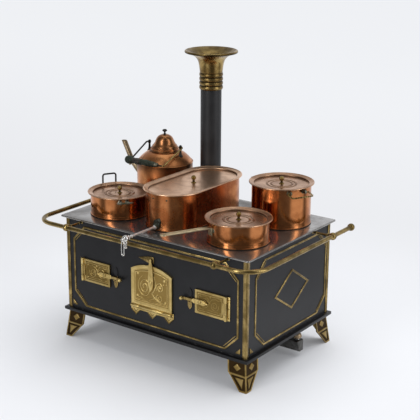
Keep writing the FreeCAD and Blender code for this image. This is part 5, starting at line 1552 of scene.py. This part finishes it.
class STOVE_OT_pots(bpy.types.Operator):
    """Copper pots, their lids, knobs, ears and handles"""

    bl_idname = "stove.pots"
    bl_label = "Pots"

    strip_turn = -116.0
    strip_drop = 5.5

    def execute(self, context):
        for pot in ("casserole", "stockpot", "saucepan", "boiler"):
            body, lid, knob = (pot + part for part in ("_body", "_lid", "_knob"))
            copper, rings, cover = "copper", LID_RINGS, "lid_copper"
            if pot == "boiler":
                copper, rings, cover = "boiler_copper", (), "boiler_lid_copper"
            add_form(pot + "_pot", pot_form(body), [copper, "tinned_inside"], pot, [body])
            add_form(pot + "_cover", lid_form(body, rings), [cover], pot + "_cover", [lid])
            add_form(pot + "_button", knob_form(knob), ["antique_brass"], pot + "_cover", [knob])
        self.casserole()
        self.stockpot()
        self.saucepan()
        self.boiler_rivets()
        return {"FINISHED"}

    def ear_solder(self, pot, turns, width):
        """Lumps of solder where a pot's ears sit on its wall."""
        x, y, radius, _, rim = vessel(pot + "_body")
        form = Form()
        for turn in turns:
            for side in (-1, 1):
                swing = math.degrees(math.asin(side * (width / 2 - 4.6) / radius))
                way = spin([(1.0, 0, 0)], turn + swing)[0]
                solder_form(form, np.array((x, y, rim - 3.4)) + way * radius, (2.9, 3.1, 0.9), way)
        add_form(pot + "_solder", form, ["tarnished_solder"], pot, ())

    def casserole(self):
        """Ears and plain wire loops; the back one stands up."""
        width, front, back = 19.0, -42.0, 149.0
        round_edges("casserole_lugs", "casserole_ears", "tarnished_solder", 0.5)
        for way, turn, tilt, wire in (("front", front, 17.0, "tarnished_solder"),
                                      ("back", back, 92.0, "black_iron")):
            form = Form()
            sweep_form(form, loop_line("casserole", turn, tilt, width, 17.0, 6.5), circle(1.2), 0.5)
            node = "casserole_%s_handle" % way
            add_form("casserole_%s_wire" % way, form, [wire], body_of(node), [node])
        self.ear_solder("casserole", (front, back), width)

    def stockpot(self):
        """Ears and loops of twisted wire."""
        width, right, left = 31.0, -28.0, 152.0
        round_edges("stockpot_lugs", "stockpot_ears", "tarnished_solder", 0.5)
        for way, turn in (("right", right), ("left", left)):
            node = "stockpot_%s_handle" % way
            name = "stockpot_%s_wire" % way
            line = loop_line("stockpot", turn, -10.0, width, 14.0, 3.5)
            line[:, 1] += MID_Y
            base = bpy.data.meshes.new(name + "_line")
            edges = [(index, index + 1) for index in range(len(line) - 1)]
            base.from_pydata((line * MM).tolist(), edges, [])
            mesh = node_mesh(name, base, twist_tree, "brass", Radius=0.66 * MM, Twist=sizes().twist * 0.5)
            add_piece(name, mesh, [], body_of(node), [node])
        self.ear_solder("stockpot", (right, left), width)

    def saucepan(self):
        """Strip handle with its raised edges, rivets and solder."""
        x, y, radius, _, rim = vessel("saucepan_body")
        round_edges("saucepan_strip", "saucepan_handle", "pale_brass", 0.45, 3)
        way, side = spin([(1.0, 0, 0), (0, 1.0, 0)], self.strip_turn)

        def at(out, shift, height):
            return np.array((x, y, height)) + way * out + side * shift

        handle = rim - self.strip_drop
        places = [(at(radius + 1.5, shift, handle - drop), way)
                  for drop in (4.0, 8.8) for shift in (-3.0, 3.0)]
        add_rivets("saucepan_rivets", places, "tarnished_solder", "saucepan")
        form = Form()
        for shift, drop, size in ((-5.4, 9.5, 2.6), (5.4, 9.5, 2.6), (0.0, 13.2, 3.4)):
            out = spin([way], math.degrees(math.asin(shift / radius)))[0]
            solder_form(form, np.array((x, y, rim - drop)) + out * radius, (size, size * 1.2, 0.8), out)
        add_form("saucepan_solder", form, ["tarnished_solder"], "saucepan", ())
        form = Form()
        for shift in (-2.5, 2.5):
            line = [at(radius + out, shift, handle) for out in (4.0, 34.0, 62.0)]
            sweep_form(form, line, circle(0.45, 8), 0.3)
        add_form("saucepan_strip_edges", form, ["pale_brass"], "saucepan", ())

    def boiler_rivets(self):
        """Rivets under the rim of the boiler, on its round ends."""
        x, y, radius, half, rim = vessel("boiler_body")
        places = []
        for turn in (-122.0, -100.0, -68.0, 68.0, 112.0):
            way = spin([(1.0, 0, 0)], turn)[0]
            shift = half if turn > 0 else -half
            places.append((np.array((x, y + shift, rim - 6.0)) + way * radius, way))
        add_rivets("boiler_rivets", places, "boss_patina", "boiler", 1.1)


class STOVE_OT_kettle(bpy.types.Operator):
    """Copper kettle with its bell lid, spout, ears, bail and turned grip"""

    bl_idname = "stove.kettle"
    bl_label = "Kettle"

    shoulder = 52.0
    neck = 68.0
    rim = 72.0
    pivot = 76.7
    lug_x = 28.2
    lid_rise = 19.5
    spout_tip = 71.5
    spout_radii = (3.7, 2.6)
    bail_reach = 45.5
    bail_lean = math.radians(25.0)

    def execute(self, context):
        self.place = np.array((*middle_of("kettle_lid"), HOB))
        self.body()
        self.lugs()
        self.spout()
        self.lid()
        self.bail()
        return {"FINISHED"}

    def body(self):
        """Straight wall, creased shoulder, rising slope and beaded neck, tinned inside."""
        wall = soften([(POT_R, 2.0), (POT_R, 30.0), (POT_R, self.shoulder - 0.2)], 0.5)
        crease = [(POT_R + out, self.shoulder + rise)
                  for out, rise in ((0.15, -0.1), (0.60, 0.05), (0.66, 0.45), (0.40, 0.85))]
        slope = []
        for share in np.linspace(0.03, 0.90, 13):
            swell = share + 0.15 * math.sin(math.pi * share)
            slope.append((POT_R - 20.0 * share, self.shoulder + 0.9 + 15.6 * swell))
        neck = [(20.9, self.neck - 0.6), (21.2, self.neck + 0.1), (20.6, self.neck + 0.7),
                (20.1, self.neck + 1.2), (20.0, self.rim - 1.4), (20.5, self.rim - 0.9),
                (20.5, self.rim - 0.3), (20.0, self.rim), (18.8, self.rim)]
        inside = [(18.8, self.rim - 5.5), (POT_R - POT_WALL, self.shoulder - 0.8)] + bottom_line(POT_R)
        start = foot_line(POT_R) + wall
        outside = start + crease + slope + neck
        # painted shade in the shoulder crease, round the neck's beads and all over the inside
        dark = [0.0] * (len(start) - 1) + [0.7, 0.9, 0.1, 0.0, 0.2, 0.5] + [0.0] * (len(slope) - 1)
        dark += [0.8, 0.2, 0.9, 0.5, 0.6, 0.1, 0.1, 0.3, 0.6] + [0.4] * len(inside)
        form = Form()
        turn_form(form, outside + inside, self.place, segments=POT_STEPS,
                  paint=[0] * (len(outside) - 1) + [1] * len(inside), recess=dark)
        add_form("kettle_pot", form, ["kettle_copper", "tinned_inside"], "kettle", ["kettle_body"])

    def lugs(self):
        """Two stems on the shoulder, with flat balls that the bail hooks into."""
        form = Form()
        ball = [(radius, height * 0.62) for radius, height in arc((0, 0), 3.0, -90, 90, 14)]
        stem = soften([(0, -14.5), (3.6, -14.5), (3.4, -12.6), (2.1, -10.6), (1.6, -7.0), (1.5, -2.6),
                       (1.4, -1.0), (0, -1.0)], 0.5)
        for sign in (-1, 1):
            middle = self.place + np.array((sign * self.lug_x, 0, self.pivot))
            turn_form(form, ball, middle, (1, 0, 0), segments=32)
            turn_form(form, stem, middle, segments=28)
        add_form("kettle_lugs", form, ["black_iron"], "kettle", ())

    def spout(self):
        """Bent tube that widens into the wall, cut level at its tip and soldered at its foot."""
        sunk = 7.4
        points = [(-POT_R + sunk, 0, 22.0 - sunk), (-62.0, 0, 44.0), (-76.0, 0, self.spout_tip)]
        line = bent(points, 25.0, 12) + self.place
        count = len(line)
        scales = 1.0 + 0.22 * np.clip(1 - np.arange(count) / 6.0, 0, 1)
        across = np.array((0, 1.0, 0))
        tip = HOB + self.spout_tip - 0.05
        way = line[-1] - line[-2]
        tubes = []
        for radius in self.spout_radii:
            rings = []
            for index, point in enumerate(line):
                tangent = line[min(index + 1, count - 1)] - line[max(index - 1, 0)]
                up = np.cross(tangent / np.linalg.norm(tangent), across)
                ring = [point + radius * scales[index] * (across * math.cos(turn) + up * math.sin(turn))
                        for turn in np.linspace(0, 2 * math.pi, 28, endpoint=False)]
                rings.append(np.array(ring))
            for ring in rings[-2:]:
                over = ring[:, 2] > tip
                ring[over] += ((tip - ring[over, 2]) / way[2])[:, None] * way
            rings[-1] = rings[-1] + ((tip - rings[-1][:, 2]) / way[2])[:, None] * way
            tubes.append(rings)
        form = Form()
        form.grid(tubes[0] + tubes[1][::-1], along=True)
        solder_form(form, line[3] + np.array((-1.2, 0, -1.2)), (5.6, 6.4, 1.6), (-0.7, 0, 0.7))
        add_form("kettle_pourer", form, ["tan_brass"], "kettle", ["kettle_spout"])

    def lid(self):
        """Bell lid with a rolled flange, and its knob; heights are from the rim and from the lid's top."""
        rise = self.lid_rise
        rim = self.place + np.array((0, 0, self.rim))
        flange = soften([(17.1, -2.6), (18.3, -2.6), (18.3, 0.03), (19.0, 0.03)], 0.3)
        flange += arc((18.7, 0.75), 0.72, -60, 110, 6)
        bell = [(18.3, 1.7), (18.2, 2.3), (17.9, 3.2), (17.0, 4.4), (15.9, 5.5), (14.9, 6.9), (14.0, 8.6),
                (13.2, 10.6), (12.4, 12.6), (11.3, 14.6), (9.8, 16.4), (7.9, 17.8), (6.0, 18.7), (4.4, 19.2),
                (4.2, 19.45), (2.6, rise), (0, rise)]
        inside = [(0, rise - 2.4), (6.0, 15.6), (10.2, 10.0), (15.0, 1.0)]
        # painted shade where the bell meets the flange, at the top under the knob, and inside the lid
        dark = [0.0] * len(flange) + [0.9, 0.4] + [0.0] * (len(bell) - 3) + [0.5] + [0.3] * len(inside)
        form = Form()
        turn_form(form, flange + bell + inside, rim, segments=96, closed=True, recess=dark)
        add_form("kettle_cover_bell", form, ["kettle_dome"], "kettle_cover", ["kettle_lid"])
        form = Form()
        knob = [(0, 0), (2.3, 0.02), (2.0, 0.7), (1.3, 1.2), (1.25, 3.4), (2.2, 4.0), (3.6, 5.0), (3.5, 6.0),
                (2.6, 7.1), (0, 7.58)]
        turn_form(form, soften(knob, 0.5), rim + np.array((0, 0, rise)), segments=36)
        add_form("kettle_cover_knob", form, ["black_iron"], "kettle_cover", ["kettle_knob"])

    def swing(self, points):
        """Turns points of the level bail to its rest angle about its pivot."""
        points = np.asarray(points, float)
        cos, sin = math.cos(self.bail_lean), math.sin(self.bail_lean)
        y = points[:, 1] * cos - points[:, 2] * sin
        z = points[:, 1] * sin + points[:, 2] * cos + self.pivot
        return np.stack([points[:, 0], y, z], -1) + self.place

    def bail(self):
        """Wire bail, with a painted highlight of brass along one side, and its turned grip."""
        reach = self.bail_reach
        corners = [(-27.0, 0), (-32.6, 0), (-30.0, -reach), (30.0, -reach), (32.6, 0), (27.0, 0)]
        line = self.swing(bent([(*corner, 0) for corner in corners], 2.6, 7))
        # painted highlight: the rows along one side take the brass finish, the others black iron
        rubbed = [int(row >= len(line) / 2 + 3) for row in range(len(line) + 6)]
        form = Form()
        sweep_form(form, line, circle(1.15), 0.5, rubbed)
        add_form("kettle_bail_wire", form, ["black_iron", "brass"], "kettle_bail", ["kettle_bail"])
        swells = ((0, [(0, -38.0), (2.6, -38.0), (4.8, -36.6), (5.9, -33.6), (5.98, -31.0), (5.4, -28.0),
                       (4.2, -25.6), (3.5, -24.6)]),
                  (1, [(4.3, -24.0), (4.5, -23.0), (3.5, -22.2), (4.5, -19.4), (4.7, -16.0), (4.4, -12.6),
                       (3.5, -11.4)]),
                  (0, [(4.5, -10.6), (4.6, -9.0), (3.6, -8.2), (4.4, -5.0), (4.6, -1.0), (4.3, 2.6),
                       (3.4, 4.0), (4.3, 4.8), (4.3, 6.0), (3.3, 6.8), (3.9, 9.0), (3.8, 12.0), (3.3, 14.4)]),
                  (2, [(3.0, 14.8), (3.1, 15.4), (2.7, 16.2), (3.0, 17.2), (2.9, 19.4), (2.4, 20.0),
                       (0, 20.0)]))
        profile, paints = [], []
        for paint, swell in swells:
            part = soften(swell, 0.6)
            profile += part
            paints += [paint] * len(part)
        form = Form()
        turn_form(form, profile, self.swing([(0, -reach, 0)])[0], (1, 0, 0), segments=40, paint=paints)
        add_form("kettle_grip_wood", form, ["dark_wood", "brown_wood", "tarnished_solder"], "kettle_bail",
                 ["kettle_grip"])


class STOVE_OT_tap(bpy.types.Operator):
    """Boiler tap: soldered boss, long pipe, ball cock, spout and hanging lever"""

    bl_idname = "stove.tap"
    bl_label = "Tap"

    rise = 6.2
    rail_gap = 13.0
    ball = 4.45

    def execute(self, context):
        x, y, radius, half, _ = vessel("boiler_body")
        wall = y - half - radius
        axis = HOB + self.rise
        self.boss(x, wall, axis)
        self.pipe(x, wall, axis)
        self.lever(x, axis)
        return {"FINISHED"}

    def boss(self, x, wall, axis):
        """Boss on the boiler's wall, drowned in solder."""
        form = Form()
        profile = [(0, -1.5), (5.4, -1.5), (5.4, 1.8), (4.4, 3.2), (3.2, 4.2), (2.6, 5.6), (0, 5.6)]
        turn_form(form, soften(profile, 0.6), (x, wall, axis + 1.4), (0, -1, 0), segments=40)
        for shift, lift, wide, tall in ((0.6, 9.8, 5.8, 7.2), (3.2, 13.4, 3.6, 4.0), (-2.4, 4.8, 4.4, 3.4)):
            solder_form(form, (x + shift, wall + 0.4, HOB + lift), (wide, tall, 1.9), (0, -1, 0))
        add_form("tap_boss", form, ["boss_patina"], "boiler", ())

    def pipe(self, x, wall, axis):
        """Pipe over the rail, its ball cock and pin, and the spout below; lengths are from the ball."""
        ball_y = RAIL_Y - self.rail_gap
        start = ball_y - wall
        stem = soften([(0, start - 1.0), (3.0, start - 1.0), (3.0, start + 5.2), (2.6, start + 6.0),
                       (1.75, start + 6.8), (1.75, -13.0), (2.3, -12.4), (2.3, -11.2), (1.8, -10.6),
                       (1.9, -6.8), (2.9, -6.2), (2.9, -4.9), (2.2, -4.3)], 0.35)
        profile = stem + arc((0, 0), self.ball, -28, 68, 18)
        profile += soften([(1.7, 4.15), (1.25, 4.5), (1.25, 6.75), (2.1, 6.85), (2.1, 7.2), (1.5, 7.55),
                           (0, 7.58)], 0.2)
        pale = len(stem) - 8
        paints = [0] * pale + [1] * (len(profile) - pale)
        form = Form()
        turn_form(form, profile, (x, ball_y, axis), (0, -1, 0), segments=44, paint=paints)
        spout = [(0, 1.0), (2.1, 1.0), (2.1, 4.6), (2.6, 5.2), (2.6, 6.2), (2.0, 6.8), (2.0, 11.2),
                 (2.35, 11.8), (2.2, 12.95), (1.2, 12.95), (1.2, 6.0), (0, 6.0)]
        turn_form(form, soften(spout, 0.3), (x, ball_y, axis), (0, 0, -1), segments=32, paint=1)
        add_form("tap_pipe", form, ["nickel_pipe", "nickel"], "boiler", ["tap_body"])

    def lever(self, x, axis):
        """Wire loop that hangs from an eye round the cock's pin."""
        y = middle_of("tap_lever")[1]
        form = Form()
        eye = [(1.95 + 0.62 * math.cos(turn), 0.8 * math.sin(turn))
               for turn in np.linspace(0, 2 * math.pi, 11, endpoint=False)]
        turn_form(form, eye, (x, y, axis), (0, -1, 0), segments=28, closed=True)
        bottom = span("tap_lever")[0][2] + 0.75
        side = [(0.9, axis - 2.2), (2.0, axis - 6.0), (2.0, bottom)]
        loop = [(x - out, y, z) for out, z in side] + [(x + out, y, z) for out, z in side[::-1]]
        sweep_form(form, bent(loop, 1.9, 6), circle(0.72, 12), 0.3)
        add_form("tap_lever_loop", form, ["nickel"], "tap_lever", ["tap_lever"])


class STOVE_OT_burner(bpy.types.Operator):
    """Spirit burner, its wicks and cap, and the guides under the base"""

    bl_idname = "stove.burner"
    bl_label = "Burner"

    lean = 6.5
    wicks = (-60.0, 0.0, 60.0)
    tube_r = 6.0
    wick_r = 5.0
    fibre_length = 2.2
    cap_grow = (1.9, 1.4)

    def execute(self, context):
        self.tray()
        round_edges("guide_rails", "burner_guides", "tinplate", 0.3)
        self.tubes()
        self.cap()
        return {"FINISHED"}

    def tray(self):
        """Tank whose outer end leans forward at its top."""
        mesh = rounded_mesh("burner_tank", 0.5, 3)
        low, high = span("burner_tank")
        for vertex in mesh.vertices:
            x, y, z = vertex.co / MM
            if x > high[0] - 5.0 and y - MID_Y < BURNER_Y:
                vertex.co.y -= self.lean * MM * (z - low[2]) / (high[2] - low[2])
        add_piece("burner_tray", mesh, ["smoked_tin"], "burner", ["burner_tank"])

    def tubes(self):
        """Wick tubes with a soldered seam at the foot, and the wicks' loose fibres."""
        low, high = span("wick_tubes")
        foot, top = low[2], high[2] - low[2]
        radius, bore = self.tube_r, self.tube_r - 0.7
        tube = soften([(0, 0.02), (radius, 0.02), (radius, top - 2.4), (radius, top - 1.2),
                       (bore, top - 1.2), (bore, top - 4.0), (0, top - 4.0)], 0.3)
        seam = [(radius + out, z) for out, z in ((0.05, 1.0), (0.35, 1.4), (0.35, 1.9), (0.05, 2.3))]
        form = Form()
        for x in self.wicks:
            turn_form(form, tube, (x, BURNER_Y, foot), segments=40)
            turn_form(form, soften(seam, 0.1), (x, BURNER_Y, foot), segments=40, closed=True)
        add_form("wick_sleeves", form, ["brass"], "burner", ["wick_tubes"])
        base = base_points("wick_fibres", [(x, BURNER_Y, high[2] - 2.4) for x in self.wicks])
        wick = self.wick_r * MM
        mesh = node_mesh("wick_fibres", base, fibre_tree, "wick_cotton", Radius=wick,
                         Density=sizes().fibres / (math.pi * wick ** 2), Length=self.fibre_length * MM)
        add_piece("wick_fibres", mesh, [], "burner")

    def cap(self):
        """Domed filler cap with a button on top and a neck below."""
        low, high = span("filler_cap")
        radius = (high[0] - low[0]) / 2 + self.cap_grow[0]
        crown = high[2] - low[2] + self.cap_grow[1]
        brow, edge = 4.9, radius - 0.4
        profile = soften([(0, 0), (4.3, 0), (4.3, 1.0), (2.6, 1.3), (2.6, 2.6), (edge, 2.8), (radius, 3.3),
                          (radius, 4.4), (edge, 4.8)], 0.25)
        paints = [int(height < 2.5) for _, height in profile]
        profile += [(edge * math.cos(turn), brow + (crown - brow) * math.sin(turn))
                    for turn in np.radians(np.linspace(4, 78, 10))]
        profile += arc((0, crown + 0.1), 1.3, -40, 90, 7)
        paints += [0] * (len(profile) - len(paints))
        form = Form()
        turn_form(form, profile, (*middle_of("filler_cap"), low[2]), segments=40, paint=paints)
        add_form("cap_dome", form, ["tan_brass", "nickel"], "burner_cap", ["filler_cap"])


class STOVE_OT_stage(bpy.types.Operator):
    """Floor, soft light, world and camera"""

    bl_idname = "stove.stage"
    bl_label = "Stage"

    floor_x = 14.0
    floor_y = (-9.0, 22.0)
    boards_end = 95
    board_gaps = ((-41, 16), (64, 22))

    def execute(self, context):
        self.floor()
        self.world()
        self.lamp("key_light", place=(0.14, 0.50, 1.95), aim_z=0.15, size=(2.1, 2.1), power=37.5,
                  mirrored=False)
        self.lamp("left_light", place=(-0.14, -1.30, 0.72), aim_z=0.25, size=(0.34, 1.35), power=6.3)
        self.lamp("right_light", place=(1.30, 0.20, 0.70), aim_z=0.25, size=(0.36, 1.35), power=4.0)
        self.camera()
        return {"FINISHED"}

    def floor(self):
        """Pale paper that glows a little far away, and is darker to mirrors where the dark boards stand."""
        x, (near, far) = self.floor_x, self.floor_y
        mesh = bpy.data.meshes.new("floor")
        mesh.from_pydata([(-x, near, 0), (x, near, 0), (x, far, 0), (-x, far, 0)], [], [(0, 1, 2, 3)])
        make = Finish("floor_paper")
        fibre = make.noise(1.2, 3, 0.6)
        cloud = make.noise(90, 3, 0.5)
        paper = colours().floor
        seen, mirror = make.rays()
        place = make.place()
        away = make.node("ShaderNodeVectorMath", {0: place}, "Value", operation="LENGTH")
        dusk = make.step(away, 260, 480) * self.flags(make, place, 72) * mirror
        colour = make.blend(cloud * 0.3, paper, shade(paper, 0.97))
        colour = make.blend(dusk, colour, shade(paper, 0.3))
        sheet = make.node("ShaderNodeBsdfPrincipled", {
            "Base Color": colour, "Roughness": 0.75 + 0.1 * fibre, "Specular IOR Level": 0.15,
            "Normal": make.bump(fibre, 0.02)})
        depth = make.node("ShaderNodeSeparateXYZ", {0: make.place((0.57, 0.8, 0))}, output=1)
        light = make.blend(make.step(depth, -900, 1500), (0.74, 0.745, 0.77), (0.89, 0.905, 0.935))
        light = make.blend(dusk, light, (0.15, 0.152, 0.16))
        glow = make.node("ShaderNodeEmission", {"Color": light, "Strength": 1.0})
        share = seen * (0.15 + 0.80 * make.step(away, 240, 720))
        mixed = make.node("ShaderNodeMixShader", {0: share, 1: sheet, 2: glow})
        make.node("ShaderNodeOutputMaterial", {"Surface": mixed})
        mesh.materials.append(make.material)
        floor = bpy.data.objects.new("floor", mesh)
        bpy.context.scene.collection.objects.link(floor)

    def flags(self, bench, place, left):
        """1 where dark boards stand on the camera's side, from an angle on its left, in degrees."""
        turn = math.radians(CAMERA_TURN)
        ahead = bench.reach(place, (math.sin(turn), -math.cos(turn), 0))
        aside = bench.reach(place, (math.cos(turn), math.sin(turn), 0))
        angle = bench.maths("ARCTAN2", aside, ahead)
        share = bench.step(angle, math.radians(-left - 22), math.radians(-left))
        share = share * bench.step(angle, math.radians(self.boards_end + 17), math.radians(self.boards_end))
        for middle, half in self.board_gaps:
            off = bench.maths("ABSOLUTE", angle - math.radians(middle), 0.0)
            share = share * bench.step(off, math.radians(half - 5), math.radians(half + 9))
        return share

    def world(self):
        """Even light from all round, seen as a sky with dark boards."""
        world = bpy.data.worlds.new("studio")
        world.use_nodes = True
        world.node_tree.nodes.clear()
        bench = Bench(world.node_tree)
        way = bench.node("ShaderNodeTexCoord", output="Generated")
        rise = bench.node("ShaderNodeSeparateXYZ", {0: way}, output=2)
        stops = [(0.0, (0.88, 0.89, 0.92, 1)), (0.31, (0.84, 0.85, 0.88, 1)), (0.50, (0.42, 0.425, 0.44, 1)),
                 (0.74, (0.48, 0.485, 0.50, 1)), (0.90, (0.85, 0.86, 0.88, 1)), (1.0, (1.0, 1.0, 1.0, 1))]
        sky = bench.node("ShaderNodeValToRGB", {0: rise}, stops=stops)
        seen, mirror = bench.rays()
        soft = bench.node("ShaderNodeBackground", {"Color": (0.94, 0.96, 1.0, 1), "Strength": 0.41})
        dusk = self.flags(bench, way, 115) * mirror
        shown = bench.node("ShaderNodeBackground", {
            "Color": bench.blend(dusk, sky, (0.13, 0.132, 0.14)), "Strength": 1.0})
        mixed = bench.node("ShaderNodeMixShader", {0: seen, 1: soft, 2: shown})
        bench.node("ShaderNodeOutputWorld", {"Surface": mixed})
        bpy.context.scene.world = world

    def lamp(self, name, place, aim_z, size, power, mirrored=True):
        """Soft lamp aimed at a height over the stove's middle."""
        data = bpy.data.lights.new(name, "AREA")
        data.shape = "RECTANGLE"
        data.size, data.size_y = size
        data.energy = power
        lamp = bpy.data.objects.new(name, data)
        lamp.location = place
        lamp.rotation_euler = (Vector((0, 0, aim_z)) - Vector(place)).to_track_quat("-Z", "Y").to_euler()
        lamp.visible_glossy = mirrored
        bpy.context.scene.collection.objects.link(lamp)

    def camera(self):
        turn, lift, roll = (math.radians(angle) for angle in (CAMERA_TURN, CAMERA_LIFT, CAMERA_ROLL))
        back = Vector((math.sin(turn) * math.cos(lift), -math.cos(turn) * math.cos(lift), math.sin(lift)))
        right = Vector((math.cos(turn), math.sin(turn), 0))
        up = back.cross(right)
        level_right = right * math.cos(roll) + up * math.sin(roll)
        level_up = up * math.cos(roll) - right * math.sin(roll)
        aim = Vector((CAMERA_AIM[0], CAMERA_AIM[1] + MID_Y, CAMERA_AIM[2])) * MM
        place = aim + back * (CAMERA_RANGE * MM)
        data = bpy.data.cameras.new("camera")
        data.lens = CAMERA_LENS
        data.sensor_width = CAMERA_SENSOR
        camera = bpy.data.objects.new("camera", data)
        turned = Matrix((level_right, level_up, back)).transposed().to_4x4()
        camera.matrix_world = Matrix.Translation(place) @ turned
        bpy.context.scene.collection.objects.link(camera)
        bpy.context.scene.camera = camera
        bpy.context.scene.view_settings.view_transform = "Standard"


PIECES = (STOVE_OT_walls, STOVE_OT_trim, STOVE_OT_feet, STOVE_OT_rail, STOVE_OT_chimney, STOVE_OT_doors,
          STOVE_OT_latches, STOVE_OT_pots, STOVE_OT_kettle, STOVE_OT_tap, STOVE_OT_burner, STOVE_OT_stage)


class STOVE_PT_pieces(bpy.types.Panel):
    """Lists what builds the stove, with its sizes and colours"""

    bl_idname = "STOVE_PT_pieces"
    bl_label = "Tin toy stove"
    bl_space_type = "VIEW_3D"
    bl_region_type = "UI"
    bl_category = "Stove"

    def draw(self, context):
        for piece in PIECES:
            self.layout.operator(piece.bl_idname)
        for group in (context.scene.stove_sizes, context.scene.stove_colours):
            for name in group.__annotations__:
                self.layout.prop(group, name)


CLASSES = (StoveSizes, StoveColours) + PIECES + (STOVE_PT_pieces,)


def register():
    for item in CLASSES:
        bpy.utils.register_class(item)
    bpy.types.Scene.stove_sizes = bpy.props.PointerProperty(type=StoveSizes)
    bpy.types.Scene.stove_colours = bpy.props.PointerProperty(type=StoveColours)


def unregister():
    del bpy.types.Scene.stove_colours
    del bpy.types.Scene.stove_sizes
    for item in reversed(CLASSES):
        bpy.utils.unregister_class(item)


def main():
    register()
    for piece in PIECES:
        family, name = piece.bl_idname.split(".")
        getattr(getattr(bpy.ops, family), name)()


if __name__ == "__main__":
    main()
